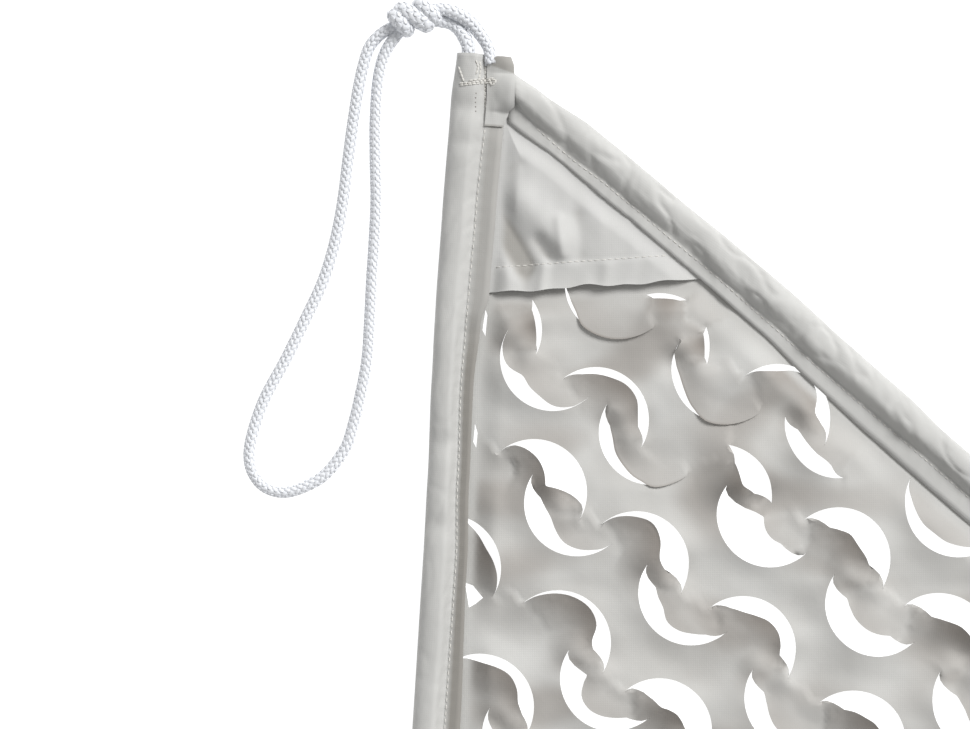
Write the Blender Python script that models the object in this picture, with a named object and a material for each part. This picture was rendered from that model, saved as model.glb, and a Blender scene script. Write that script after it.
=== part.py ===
"""Triangular shade sail of leaf-cut netting, laid flat, with a knotted rope loop at each corner.

The sail lies on z = 0. Lengths in the tables are millimetres, measured from the outer end of the top
corner's open hem, x to the right and y up. MM turns them to metres and SHIFT centres the sail.
"""

import math
from dataclasses import dataclass

import bmesh
import bpy
from mathutils import Matrix, Vector, geometry, noise

MM = 0.001
SHIFT = Vector((-343.25, 479.0))
GAP = 0.3
SHARP_ANGLE = 50.0
MERGE_DISTANCE = 0.5

CLOTH = 1.0
NET_RISE = 2.2
NET_FADE = 16.0
NET_FLAT_MARGIN = 2.0
NET_WAVE = 1.4
NET_WAVE_X = 70.0
NET_WAVE_Y = 55.0
SEAM_GAP = 0.8

TUBE_HEIGHT = 9.0
FLANGE_LOW = CLOTH + GAP
FLANGE_HIGH = FLANGE_LOW + CLOTH + GAP
END_LINE = 27.6
FINE_STEP = 12.0
COARSE_STEP = 42.0
FINE_REACH = 340.0

PATCH_ALONG_OPEN = 121.0
PATCH_ALONG_SHUT = 145.0
FLANGE_STEP = 12.0
FLANGE_STEP_OPEN = PATCH_ALONG_OPEN + 8.0
FLANGE_STEP_SHUT = PATCH_ALONG_SHUT + 8.0
PATCH_HEM = 14.0
PATCH_HEM_FOLD = 0.7
PATCH_ROWS = [0.0, 13.4, 14.6, 24.0, 34.0, 46.0, 60.0, 78.0]
PATCH_COLUMNS = 10
PATCH_MARGIN = 3.2
PATCH_UNDER = 1.4
PATCH_TIP_AT = 60.0
PATCH_BAND = 22.0
PATCH_BAND_HALF = 30.0
PATCH_SIDE_FADE = 8.0
PATCH_PROBES = 60
PATCH_FEWEST_PROBES = 8
PATCH_NARROW = (0.2, 0.8)
PATCH_FOLD_FADE = 3.0

TAB_START = 2.0
TAB_END = 35.0
TAB_OUTER = 0.9
TAB_INNER = 0.6
TAB_CROWN = 0.8
TAB_ROWS = 6
TAB_COLUMNS = 3
TAB_THICKNESS = 1.4

ROPE = 6.0
KNOT_CENTRE = Vector((-21.5, 17.5, 7.6))
KNOT_SIZE = Vector((13.0, 9.6, 8.0))
KNOT_SIDES = 16
KNOT_RINGS = 9
KNOT_WRAP = 0.07
KNOT_SLANT = (0.8, 0.6)
STRAND_STEP = 2.6
SPLINE_STEPS = 16
LEAN_REACH = 110.0

LEAF_RADIUS = 26.5
LEAF_STEP_ROW = Vector((55.0, -47.0))
LEAF_STEP_COLUMN = Vector((47.5, 44.0))
LEAF_ORIGIN = Vector((34.5, -208.5))
LEAF_PAIR = Vector((24.0, -15.0))
LEAF_OUTER_POINTS = 6
LEAF_STRIP = 3.5
LEAF_SAMPLES = 48
LEAF_LEAST_SHARE = 0.45
LEAF_PATCH_GAP = 3.0
LEAF_OPENING = 10.5
LEAF_OPENING_SPREAD = 4.0
LEAF_CLOSEST = 0.2
LEAF_PULL_REACH = 2.5
LEAF_ROUND = 0.8
LEAF_TONGUE_GAP = 1.0
LEAF_REACH = LEAF_RADIUS + 1.0
LEAF_NEIGHBOURS = 4.0 * LEAF_RADIUS
OUTLINE_START = 4.0
OUTLINE_STEP = 30.0
OUTLINE_CORNER = 1.0
NET_LINE_STEP = 45.0
NET_LINE_INSIDE = 1.5
NET_LINE_CLEAR = 0.5
NET_PATCH_LINE = (0.1, 0.3, 0.5, 0.7, 0.9)
LEAF_ROWS = range(-14, 22)
LEAF_COLUMNS = range(-14, 22)


@dataclass(frozen=True)
class Leaf:
    """One family of curved slits: the arc it starts at and how far it turns, in degrees."""

    start: float
    turn: float
    lift: float
    lift_per_opening: float


UPPER = Leaf(start=132.0, turn=-166.0, lift=2.5, lift_per_opening=0.30)
LOWER = Leaf(start=146.0, turn=168.0, lift=1.0, lift_per_opening=0.12)

# Slits beside the top corner: family, row, column, centre x, centre y, opening.
# An opening of 0 is a slit that stays shut.
SLITS = [
    (UPPER, -1, 1, 16.0, -138.5, 4.5),
    (UPPER, 0, 2, 101.5, -146.5, 4.0),
    (UPPER, 0, 1, 69.5, -183.5, 6.0),
    (UPPER, 1, 2, 160.5, -182.0, 6.0),
    (UPPER, 0, 0, 38.5, -219.5, 18.0),
    (UPPER, 1, 1, 131.0, -222.0, 15.0),
    (UPPER, 2, 2, 215.0, -225.0, 0.0),
    (UPPER, 0, -1, -4.5, -257.5, 6.0),
    (UPPER, 1, 0, 89.5, -255.5, 11.0),
    (UPPER, 2, 1, 190.5, -253.5, 15.0),
    (UPPER, 1, -1, 50.5, -295.0, 8.5),
    (UPPER, 2, 0, 143.0, -298.0, 10.0),
    (UPPER, 3, 1, 241.0, -296.5, 11.0),
    (UPPER, 1, -2, 12.0, -327.0, 8.5),
    (UPPER, 2, -1, 101.0, -339.0, 13.5),
    (UPPER, 3, 0, 198.0, -345.0, 11.0),
    (LOWER, -1, 2, 80.0, -117.5, 4.0),
    (LOWER, -1, 1, 48.0, -152.5, 11.0),
    (LOWER, 0, 2, 132.5, -157.5, 5.0),
    (LOWER, 0, 1, 97.5, -189.5, 7.5),
    (LOWER, 1, 2, 190.5, -186.0, 9.0),
    (LOWER, 0, 0, 60.0, -225.0, 12.5),
    (LOWER, 1, 1, 156.5, -230.5, 17.0),
    (LOWER, 0, -1, 21.5, -268.5, 0.0),
    (LOWER, 1, 0, 117.0, -269.5, 9.0),
    (LOWER, 2, 1, 210.5, -275.0, 12.5),
    (LOWER, 1, -1, 78.0, -312.5, 11.0),
    (LOWER, 2, 0, 170.0, -322.0, 11.0),
    (LOWER, 2, 2, 250.5, -225.5, 10.0),
    (LOWER, 3, 1, 264.0, -323.5, 10.0),
    (LOWER, 1, -2, 39.0, -341.0, 8.5),
]

# Rows of a hem: distance along it, outward bow of its outer edge, width of its tube, width of its flange.
LEFT_ROWS = [
    (0, 0.0, 14.5, 9.5),
    (24, 1.5, 17.2, 10.0),
    (80, 2.2, 16.0, 10.7),
    (120, 2.5, 15.4, 11.0),
    (134, 2.4, 15.0, 8.0),
    (164, 2.0, 14.1, 6.9),
    (214, 0.8, 14.3, 6.5),
    (254, 0.4, 15.7, 6.3),
    (339, 0.2, 15.3, 8.5),
    (600, 1.5, 15.6, 8.5),
    (930, 0.0, 14.5, 8.5),
]
BOTTOM_ROWS = [
    (0, 0.0, 14.5, 9.5),
    (60, 1.5, 16.5, 9.5),
    (420, 2.5, 16.5, 8.5),
    (790, 1.5, 16.5, 8.5),
    (843, 0.0, 14.5, 8.5),
]
# The right hem's rows are measured from its shut end, at the top corner.
RIGHT_ROWS = [
    (0, 0.5, 12.9, 8.0),
    (17, 2.2, 14.4, 7.9),
    (48, 5.8, 18.1, 5.3),
    (73, 6.6, 17.3, 6.9),
    (97, 6.9, 17.1, 6.5),
    (141, 8.1, 17.5, 7.0),
    (178, 8.6, 18.2, 7.0),
    (212, 7.7, 18.0, 8.7),
    (254, 7.5, 17.6, 10.0),
    (280, 6.0, 15.9, 10.6),
    (600, 2.5, 16.5, 9.0),
    (960, 0.0, 14.5, 9.5),
]

# Crinkles in a hem's tube: distance along it, depth, half length.
LEFT_DENTS = [(27, 1.6, 5), (45, 1.0, 4), (110, 0.8, 12), (195, 1.8, 6), (236, 1.5, 6), (300, 0.9, 14)]
BOTTOM_DENTS = [(150, 1.2, 20), (430, 1.4, 24), (700, 1.1, 20)]
RIGHT_DENTS = [
    (38, 1.6, 8),
    (78, 1.2, 9),
    (118, 1.8, 10),
    (150, 1.0, 7),
    (186, 2.0, 9),
    (208, 1.6, 7),
    (240, 1.4, 10),
    (282, 1.7, 12),
]

# Lower edge of a corner patch: share of the way across, and how far the edge waves inwards.
PATCH_EDGE = [(0.12, 1.2), (0.26, 0.4), (0.40, 1.6), (0.55, 0.6), (0.70, 1.4), (0.85, 0.5)]
# Pleats in a corner patch: share of the way across, height, half width.
PATCH_PLEATS = [(0.16, 1.6, 7.0), (0.33, 2.4, 5.0), (0.46, 1.4, 5.0), (0.66, 1.6, 14.0)]

# Rope strands round a corner: x, y, z of the strand's middle, chosen by hand.
STRAND_INTO_HEM = [
    (5.6, 0.4, 4.3),
    (5.5, 3.8, 4.2),
    (3.6, 8.0, 3.6),
    (0.4, 12.2, 3.3),
    (-3.8, 15.0, 3.3),
    (-8.2, 16.2, 4.0),
]
STRAND_INTO_TAB = [
    (16.4, 0.3, 4.4),
    (15.9, 2.8, 4.3),
    (13.6, 6.8, 3.8),
    (9.8, 12.0, 4.0),
    (5.2, 16.6, 5.2),
    (-1.2, 20.0, 7.2),
    (-7.4, 21.6, 7.9),
]
LOOP = [
    (-34.0, 11.8, 5.2),
    (-39.6, 8.2, 3.8),
    (-44.5, 1.5, 3.15),
    (-48.5, -13.5, 3.15),
    (-51.8, -33.5, 3.15),
    (-54.5, -53.5, 3.15),
    (-57.0, -73.5, 3.15),
    (-60.8, -93.5, 3.15),
    (-66.8, -113.5, 3.15),
    (-76.0, -133.5, 3.15),
    (-85.8, -153.5, 3.15),
    (-96.5, -173.5, 3.15),
    (-103.0, -193.5, 3.15),
    (-103.4, -206.0, 3.15),
    (-98.0, -215.5, 3.15),
    (-88.5, -219.5, 3.15),
    (-78.0, -217.5, 3.15),
    (-66.0, -210.8, 3.15),
    (-56.6, -199.0, 3.15),
    (-53.0, -190.0, 3.15),
    (-48.8, -173.5, 3.15),
    (-45.0, -153.5, 3.15),
    (-43.6, -133.5, 3.15),
    (-42.6, -113.5, 3.15),
    (-41.3, -93.5, 3.15),
    (-40.4, -73.5, 3.15),
    (-40.8, -53.5, 3.15),
    (-40.8, -33.5, 3.15),
    (-39.4, -13.5, 3.15),
    (-36.0, 0.0, 3.4),
    (-29.9, 9.1, 5.2),
]


def smooth(value):
    """A soft step from 0 to 1."""
    value = max(0.0, min(1.0, value))
    return value * value * (3.0 - 2.0 * value)


def read_row(rows, along, column):
    """The value of a column of a table at a distance, with a smooth change between rows."""
    if along <= rows[0][0]:
        return rows[0][column]
    for before, after in zip(rows, rows[1:]):
        if along <= after[0]:
            share = smooth((along - before[0]) / (after[0] - before[0]))
            return before[column] + (after[column] - before[column]) * share
    return rows[-1][column]


class Hem:
    """A rope hem: a tube with a flat sewn flange. It is open at its start and shut at its end."""

    def __init__(self, name, start, end, rows, dents, fine_reach=0.0, from_end=False):
        self.name = name
        self.start = Vector(start)
        self.end = Vector(end)
        self.rows = rows
        self.dents = dents
        self.fine_reach = fine_reach
        self.from_end = from_end
        self.length = (self.end - self.start).length
        self.along = (self.end - self.start).normalized()
        self.inward = Vector((-self.along.y, self.along.x))
        self.meets = None

    def key(self, along):
        return self.length - along if self.from_end else along

    def edge(self, along):
        return -read_row(self.rows, self.key(along), 1)

    def tube(self, along):
        return read_row(self.rows, self.key(along), 2)

    def flange(self, along):
        return read_row(self.rows, self.key(along), 3)

    def point(self, along, across):
        return self.start + self.along * along + self.inward * across

    def across_of(self, point):
        return (point - self.start) @ self.inward

    def along_of(self, point):
        return (point - self.start) @ self.along

    def seam(self, along):
        """Distance across to the seam, where the tube meets the flange."""
        return self.edge(along) + self.tube(along)

    def inner(self, along):
        """Distance across to the flange's inner edge."""
        return self.seam(along) + self.flange(along)

    def height(self, along):
        """Height of the tube, lower where it is crinkled."""
        height = TUBE_HEIGHT
        for place, depth, half in self.dents:
            height -= depth * math.exp(-(((self.key(along) - place) / half) ** 2))
        return height

    def flange_bottom(self, along):
        """Underside of the flange: over the patches it lies one cloth higher."""
        over_open = 1.0 - smooth((along - FLANGE_STEP_OPEN) / FLANGE_STEP)
        over_shut = 1.0 - smooth((self.length - along - FLANGE_STEP_SHUT) / FLANGE_STEP)
        return FLANGE_LOW + (FLANGE_HIGH - FLANGE_LOW) * max(over_open, over_shut)

    def end_along(self, across):
        """Where a line along the hem stops, beside the next hem's flange."""
        line = self.point(0.0, across) - self.meets.start
        return (END_LINE - line @ self.meets.inward) / (self.along @ self.meets.inward)

    def section(self, along):
        """The hem's closed section as (across, height) pairs, counter-clockwise seen from its start."""
        width = self.tube(along)
        height = self.height(along)
        low = self.flange_bottom(along)
        top = low + CLOTH
        edge = self.edge(along)
        shape = [
            (0.18 * width, 0.0),
            (width - 2.2, 0.0),
            (width - 0.2, low),
            (width + self.flange(along), low),
            (width + self.flange(along), top),
            (width + 0.1, top),
            (width - 1.9, top + 0.42 * (height - top)),
            (0.70 * width, 0.94 * height),
            (0.50 * width, height),
            (0.24 * width, 0.90 * height),
            (0.06 * width, 0.64 * height),
            (0.00 * width, 0.34 * height),
            (0.06 * width, 0.10 * height),
        ]
        return [(edge + across, up) for across, up in shape]

    def stations(self):
        """Shares of the length that have a section: close together where the hem is crinkled."""
        places = [0.0]
        while places[-1] < self.length - COARSE_STEP:
            fine = self.key(places[-1]) < self.fine_reach
            places.append(places[-1] + (FINE_STEP if fine else COARSE_STEP))
        places.append(self.length)
        opened = [FLANGE_STEP_OPEN, FLANGE_STEP_OPEN + FLANGE_STEP]
        shut = [self.length - FLANGE_STEP_SHUT, self.length - FLANGE_STEP_SHUT - FLANGE_STEP]
        steps = opened + shut
        kept = [place for place in places if all(abs(place - step) > 0.45 * FINE_STEP for step in steps)]
        return [place / self.length for place in sorted(kept + steps)]


@dataclass
class Corner:
    """A corner of the sail: the hem that opens there and the hem that ends beside it."""

    name: str
    open_hem: Hem
    shut_hem: Hem
    loop_lean: float

    def place(self, x, y):
        """A point given beside the top corner, carried to this corner."""
        first = HEMS[0].along
        turn = math.atan2(self.open_hem.along.y, self.open_hem.along.x) - math.atan2(first.y, first.x)
        return self.open_hem.start + Vector((x, y)) @ Matrix.Rotation(-turn, 2)


HEMS = [
    Hem("hem_left", (0.0, 0.0), (-61.0, -927.8), LEFT_ROWS, LEFT_DENTS, FINE_REACH),
    Hem("hem_bottom", (-58.4, -958.0), (727.9, -655.9), BOTTOM_ROWS, BOTTOM_DENTS),
    Hem("hem_right", (753.5, -639.5), (28.5, -10.5), RIGHT_ROWS, RIGHT_DENTS, FINE_REACH, from_end=True),
]
for number, hem in enumerate(HEMS):
    hem.meets = HEMS[(number + 1) % len(HEMS)]

CORNERS = [
    Corner("top", HEMS[0], HEMS[2], 0.0),
    Corner("low", HEMS[1], HEMS[0], 9.0),
    Corner("far", HEMS[2], HEMS[1], -7.0),
]


def finish(name, colour, roughness):
    """A plain finish for a sub-part."""
    material = bpy.data.materials.new(name)
    material.use_nodes = True
    shader = material.node_tree.nodes["Principled BSDF"]
    shader.inputs["Base Color"].default_value = (*colour, 1.0)
    shader.inputs["Roughness"].default_value = roughness
    shader.inputs["Metallic"].default_value = 0.0
    return material


def world(point, height):
    """A point of the tables and a height, in metres."""
    return Vector(((point.x + SHIFT.x) * MM, (point.y + SHIFT.y) * MM, height * MM))


def add_object(name, mesh, material, parent):
    """A named object in the sail's collection, under the sail's empty."""
    mesh.materials.append(material)
    shape = bpy.data.objects.new(name, mesh)
    bpy.data.collections["shade_sail"].objects.link(shape)
    shape.parent = parent
    return shape


def mesh_from(bm, name, is_round):
    """A mesh from a bmesh, with its faces pointing out."""
    bmesh.ops.recalc_face_normals(bm, faces=bm.faces)
    if bm.calc_volume(signed=True) < 0.0:
        bmesh.ops.reverse_faces(bm, faces=bm.faces)
    mesh = bpy.data.meshes.new(name)
    bm.to_mesh(mesh)
    bm.free()
    if is_round:
        mesh.shade_smooth()
        mesh.set_sharp_from_angle(angle=math.radians(SHARP_ANGLE))
    return mesh


def build_hem(hem, material, parent):
    """Loft a hem through its sections, square at its open end and slanted at its shut end."""
    bm = bmesh.new()
    rings = []
    for share in hem.stations():
        ring = []
        for index, (across, _) in enumerate(hem.section(share * hem.length)):
            along = share * hem.end_along(across)
            exact_across, up = hem.section(along)[index]
            ring.append(bm.verts.new(world(hem.point(along, exact_across), up)))
        rings.append(ring)
    for ring, after in zip(rings, rings[1:]):
        for index in range(len(ring)):
            other = (index + 1) % len(ring)
            bm.faces.new((ring[index], ring[other], after[other], after[index]))
    bm.faces.new(rings[0])
    bm.faces.new(rings[-1])
    bmesh.ops.triangulate(bm, faces=bm.faces)
    return add_object(hem.name, mesh_from(bm, hem.name, True), material, parent)


def is_inside(point, outline):
    """Whether a point is inside a closed outline."""
    result = False
    for first, second in zip(outline, outline[1:] + outline[:1]):
        if (first.y > point.y) != (second.y > point.y):
            cross = first.x + (point.y - first.y) / (second.y - first.y) * (second.x - first.x)
            if point.x < cross:
                result = not result
    return result


def inner_lines(offset):
    """Closed outline of the sail's cloth at a distance inside each hem's seam."""
    outline = []
    for hem in HEMS:
        along = OUTLINE_START
        while along < hem.length:
            point = hem.point(along, hem.seam(along) + offset)
            clear = [
                other.across_of(point) - other.seam(other.along_of(point)) > offset + OUTLINE_CORNER
                for other in HEMS
                if other is not hem
            ]
            if all(clear):
                outline.append(point)
            along += OUTLINE_STEP
    return outline


def flange_clearance(point):
    """Distance of a point inside the nearest flange's edge."""
    return min(hem.across_of(point) - hem.inner(hem.along_of(point)) for hem in HEMS)


def patch_line(corner):
    """The two ends of a patch's lower edge, under the flanges."""
    opened = corner.open_hem
    shut = corner.shut_hem
    first = opened.point(PATCH_ALONG_OPEN, opened.seam(PATCH_ALONG_OPEN) + PATCH_UNDER)
    back = shut.length - PATCH_ALONG_SHUT
    second = shut.point(back, shut.seam(back) + PATCH_UNDER)
    return first, second


def patch_clearance(point):
    """Distance of a point beyond the nearest patch's lower edge."""
    nearest = math.inf
    for corner in CORNERS:
        first, second = patch_line(corner)
        way = (second - first).normalized()
        beyond = (point - first) @ Vector((way.y, -way.x))
        nearest = min(nearest, beyond)
    return nearest


def net_base(point):
    """Height of the net's underside: flat under flanges and patches, in soft waves elsewhere."""
    free = min(flange_clearance(point), patch_clearance(point)) - NET_FLAT_MARGIN
    wave = noise.noise(Vector((point.x / NET_WAVE_X, point.y / NET_WAVE_Y, 0.0)))
    return smooth(free / NET_FADE), NET_RISE * (1.0 + NET_WAVE * wave)


def deviation(row, column):
    """How far a slit outside the table lies off its even place, drawn along by its neighbours."""
    total = Vector((0.0, 0.0))
    weights = 0.0
    nearest = math.inf
    for family, known_row, known_column, x, y, _ in SLITS:
        distance = math.hypot(row - known_row, column - known_column)
        nearest = min(nearest, distance)
        weight = 1.0 / (LEAF_CLOSEST + distance**4)
        total += (Vector((x, y)) - even_place(family, known_row, known_column)) * weight
        weights += weight
    return total / weights * math.exp(-max(0.0, nearest - 1.0) / LEAF_PULL_REACH)


def even_place(family, row, column):
    """Centre of a slit in the even repeat."""
    place = LEAF_ORIGIN + LEAF_STEP_ROW * row + LEAF_STEP_COLUMN * column
    return place + LEAF_PAIR if family is LOWER else place


def all_slits():
    """Every slit as (family, centre, opening)."""
    slits = [(family, Vector((x, y)), opening) for family, _, _, x, y, opening in SLITS]
    known = {(id(family), row, column) for family, row, column, _, _, _ in SLITS}
    for row in LEAF_ROWS:
        for column in LEAF_COLUMNS:
            for family in (UPPER, LOWER):
                if (id(family), row, column) in known:
                    continue
                centre = even_place(family, row, column) + deviation(row, column)
                turn = 2.4 * row + 1.7 * column + family.start
                opening = LEAF_OPENING + LEAF_OPENING_SPREAD * math.sin(turn)
                slits.append((family, centre, opening))
    return slits


def crescent(family, centre, opening, outline):
    """A slit's opening inside the cloth: its outer arc, then its drawn-back edge, or None."""
    def outer(share):
        angle = math.radians(family.start + family.turn * share)
        return centre + LEAF_RADIUS * Vector((math.cos(angle), math.sin(angle)))

    kept = []
    for index in range(LEAF_SAMPLES + 1):
        point = outer(index / LEAF_SAMPLES)
        fits = is_inside(point, outline) and patch_clearance(point) > LEAF_PATCH_GAP
        kept.append(fits)
    runs = []
    for index, fits in enumerate(kept):
        if fits and (index == 0 or not kept[index - 1]):
            runs.append([index, index])
        elif fits:
            runs[-1][1] = index
    if not runs:
        return None
    first, last = max(runs, key=lambda run: run[1] - run[0])
    if last - first < LEAF_LEAST_SHARE * LEAF_SAMPLES:
        return None
    low, high = first / LEAF_SAMPLES, last / LEAF_SAMPLES
    middle = math.radians(family.start + family.turn * 0.5 * (low + high))
    back = Vector((math.cos(middle), math.sin(middle))) * (opening * (high - low) ** 0.5)
    shares = [index / (LEAF_OUTER_POINTS - 1) for index in range(LEAF_OUTER_POINTS)]
    arc = [outer(low + (high - low) * share) for share in shares]
    drawn = []
    for share, point in reversed(list(zip(shares, arc))[1:-1]):
        drawn.append(point - back * math.sin(math.pi * share) ** LEAF_ROUND)
    inner = [is_inside(point, outline) and patch_clearance(point) > LEAF_TONGUE_GAP for point in drawn]
    return (arc, drawn) if all(inner) else None


def is_apart(chain, holes):
    """Whether an opening leaves a strip of cloth between itself and the openings before it."""
    for _, hole in holes:
        if (hole[0] - chain[0]).length > LEAF_NEIGHBOURS:
            continue
        if any((point - other).length < LEAF_STRIP for point in chain for other in hole):
            return False
        if any(is_inside(point, hole) for point in chain):
            return False
    return True


def build_net(material, parent):
    """The net: one cloth with its slits drawn open, triangulated flat, lifted and thickened."""
    outline = inner_lines(SEAM_GAP)
    points = []
    edges = []
    heights = []
    holes = []

    def add_chain(chain, lifts, closed):
        first = len(points)
        points.extend(chain)
        heights.extend(lifts)
        edges.extend((first + index, first + index + 1) for index in range(len(chain) - 1))
        if closed:
            edges.append((first + len(chain) - 1, first))

    add_chain(outline, [0.0] * len(outline), True)
    for family, centre, opening in all_slits():
        if opening <= 0.0:
            continue
        if not is_inside(centre, outline) and flange_clearance(centre) < -LEAF_RADIUS:
            continue
        found = crescent(family, centre, opening, outline)
        if found is None:
            continue
        arc, drawn = found
        if not is_apart(arc + drawn, holes):
            continue
        lift = family.lift + family.lift_per_opening * opening
        raised = [lift * math.sin(math.pi * (n + 1) / (len(drawn) + 1)) for n in range(len(drawn))]
        add_chain(arc + drawn, [0.0] * len(arc) + raised, True)
        holes.append((centre, arc + drawn))
    for hem in HEMS:
        steps = int(hem.length / NET_LINE_STEP)
        line = [hem.point(n * hem.length / steps, 0.0) for n in range(steps + 1)]
        line = [point + hem.inward * (hem.inner(hem.along_of(point)) + NET_LINE_INSIDE) for point in line]
        line = [point for point in line if is_inside(point, outline)]
        line = [point for point in line if flange_clearance(point) > NET_LINE_CLEAR]
        add_chain(line, [0.0] * len(line), False)
    for corner in CORNERS:
        first, second = patch_line(corner)
        line = [first.lerp(second, share) for share in NET_PATCH_LINE]
        add_chain(line, [0.0] * len(line), False)

    flat, _, faces, sources, _, _ = geometry.delaunay_2d_cdt(points, edges, [], 0, 1e-4)
    bm = bmesh.new()
    verts = []
    for point, source in zip(flat, sources):
        fade, base = net_base(point)
        lift = max((heights[index] for index in source), default=0.0)
        verts.append(bm.verts.new(world(point, max(0.0, fade * (base + lift)))))
    for face in faces:
        middle = sum((flat[index] for index in face), Vector((0.0, 0.0))) / 3.0
        if not is_inside(middle, outline):
            continue
        near = [hole for centre, hole in holes if (middle - centre).length < LEAF_REACH]
        if any(is_inside(middle, hole) for hole in near):
            continue
        bm.faces.new([verts[index] for index in face])
    loose = [vert for vert in bm.verts if not vert.link_faces]
    bmesh.ops.delete(bm, geom=loose, context="VERTS")
    thicken(bm, CLOTH)
    return add_object("net", mesh_from(bm, "net", False), material, parent)


def thicken(bm, thickness):
    """Give an open sheet its thickness, upwards, and return the points of its upper side."""
    grown = bmesh.ops.extrude_face_region(bm, geom=list(bm.faces), use_keep_orig=True)
    upper = [item for item in grown["geom"] if isinstance(item, bmesh.types.BMVert)]
    for vert in upper:
        vert.co.z += thickness * MM
    return upper


def patch_columns(left, right):
    """Shares of the way across a patch: its sides, the flanges' edges and even steps between them."""
    steps = PATCH_PROBES
    clear = [flange_clearance(left.lerp(right, step / steps)) > 2.0 * GAP for step in range(steps + 1)]
    first, last = (clear.index(True), steps - clear[::-1].index(True)) if any(clear) else (0, 0)
    if last - first < PATCH_FEWEST_PROBES:
        first, last = PATCH_NARROW[0] * steps, PATCH_NARROW[1] * steps
    inner = PATCH_COLUMNS - 2
    middle = [(first + (last - first) * step / inner) / steps for step in range(inner + 1)]
    return [0.0, *middle, 1.0]


def build_patch(corner, material, parent):
    """A corner patch: a plain cloth over the net's corner, hemmed and pleated at its lower edge."""
    opened = corner.open_hem
    shut = corner.shut_hem
    first, second = patch_line(corner)
    left = opened.seam(PATCH_TIP_AT) + PATCH_UNDER
    right = shut.seam(shut.length - PATCH_TIP_AT) + PATCH_UNDER
    tip = Vector(
        geometry.intersect_line_line_2d(
            opened.point(0.0, left),
            opened.point(PATCH_ALONG_OPEN, left),
            shut.point(shut.length - PATCH_ALONG_SHUT, right),
            shut.point(shut.length + PATCH_TIP_AT, right),
        )
    )
    across = (second - first).normalized()
    upward = Vector((-across.y, across.x))
    span = (second - first).length
    depth = (tip - first) @ upward
    bm = bmesh.new()
    grid = []
    folded = {}
    for height in [*PATCH_ROWS, depth]:
        share_up = height / depth
        left = opened.along_of(first + (tip - first) * share_up)
        right = shut.along_of(second + (tip - second) * share_up)
        line_left = opened.point(left, opened.seam(left) + PATCH_UNDER)
        line_right = shut.point(right, shut.seam(right) + PATCH_UNDER)
        verts = []
        for share in patch_columns(line_left, line_right):
            point = line_left.lerp(line_right, share)
            if height == 0.0:
                point += upward * read_row([(0.0, 0.0)] + PATCH_EDGE + [(1.0, 0.0)], share, 1)
            clear = flange_clearance(point) - PATCH_MARGIN
            rise = sum(h * math.exp(-(((share - at) * span / w) ** 2)) for at, h, w in PATCH_PLEATS)
            rise *= smooth(clear / PATCH_SIDE_FADE)
            rise *= math.exp(-(((height - PATCH_BAND) / PATCH_BAND_HALF) ** 2))
            verts.append(bm.verts.new(world(point, FLANGE_LOW + rise)))
            if height < PATCH_HEM:
                folded[verts[-1].co.to_tuple(6)] = PATCH_HEM_FOLD * smooth(clear / PATCH_FOLD_FADE)
        grid.append(verts)
    for lower, upper in zip(grid, grid[1:]):
        for column in range(PATCH_COLUMNS):
            bm.faces.new((lower[column], lower[column + 1], upper[column + 1], upper[column]))
    bmesh.ops.remove_doubles(bm, verts=bm.verts, dist=MERGE_DISTANCE * MM)
    bmesh.ops.triangulate(bm, faces=bm.faces)
    for vert in thicken(bm, 0.0):
        vert.co.z += (CLOTH + folded.get(vert.co.to_tuple(6), 0.0)) * MM
    name = "patch_" + corner.name
    return add_object(name, mesh_from(bm, name, False), material, parent)


def build_tab(corner, material, parent):
    """The folded end of the shut hem, sewn down over the open hem's flange."""
    hem = corner.open_hem
    bm = bmesh.new()
    grid = []
    for row in range(TAB_ROWS + 1):
        along = TAB_START + (TAB_END - TAB_START) * row / TAB_ROWS
        outer = hem.seam(along) + TAB_OUTER
        verts = []
        for column in range(TAB_COLUMNS + 1):
            share = column / TAB_COLUMNS
            across = outer + (END_LINE - TAB_INNER - outer) * share
            crown = TAB_CROWN * math.sin(math.pi * share) * (1.0 - 0.5 * row / TAB_ROWS)
            verts.append(bm.verts.new(world(hem.point(along, across), FLANGE_HIGH + CLOTH + GAP + crown)))
        grid.append(verts)
    for lower, upper in zip(grid, grid[1:]):
        for column in range(TAB_COLUMNS):
            bm.faces.new((lower[column], lower[column + 1], upper[column + 1], upper[column]))
    bmesh.ops.triangulate(bm, faces=bm.faces)
    thicken(bm, TAB_THICKNESS * CLOTH)
    name = "tab_" + corner.name
    return add_object(name, mesh_from(bm, name, False), material, parent)


def smooth_route(route, spacing):
    """Points at an even spacing along a smooth curve through a route's points."""
    ends = [route[0] * 2 - route[1], *route, route[-1] * 2 - route[-2]]
    fine = []
    for before, here, after, beyond in zip(ends, ends[1:], ends[2:], ends[3:]):
        for step in range(SPLINE_STEPS):
            t = step / SPLINE_STEPS
            fine.append(
                0.5
                * (
                    here * 2
                    + (after - before) * t
                    + (before * 2 - here * 5 + after * 4 - beyond) * t**2
                    + (here * 3 - before - after * 3 + beyond) * t**3
                )
            )
    fine.append(route[-1])
    total = sum((b - a).length for a, b in zip(fine, fine[1:]))
    count = max(4, round(total / spacing))
    result = [fine[0]]
    walked = 0.0
    for first, second in zip(fine, fine[1:]):
        walked += (second - first).length
        if walked >= len(result) * total / count and len(result) < count:
            result.append(second)
    return result + [route[-1]]


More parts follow.
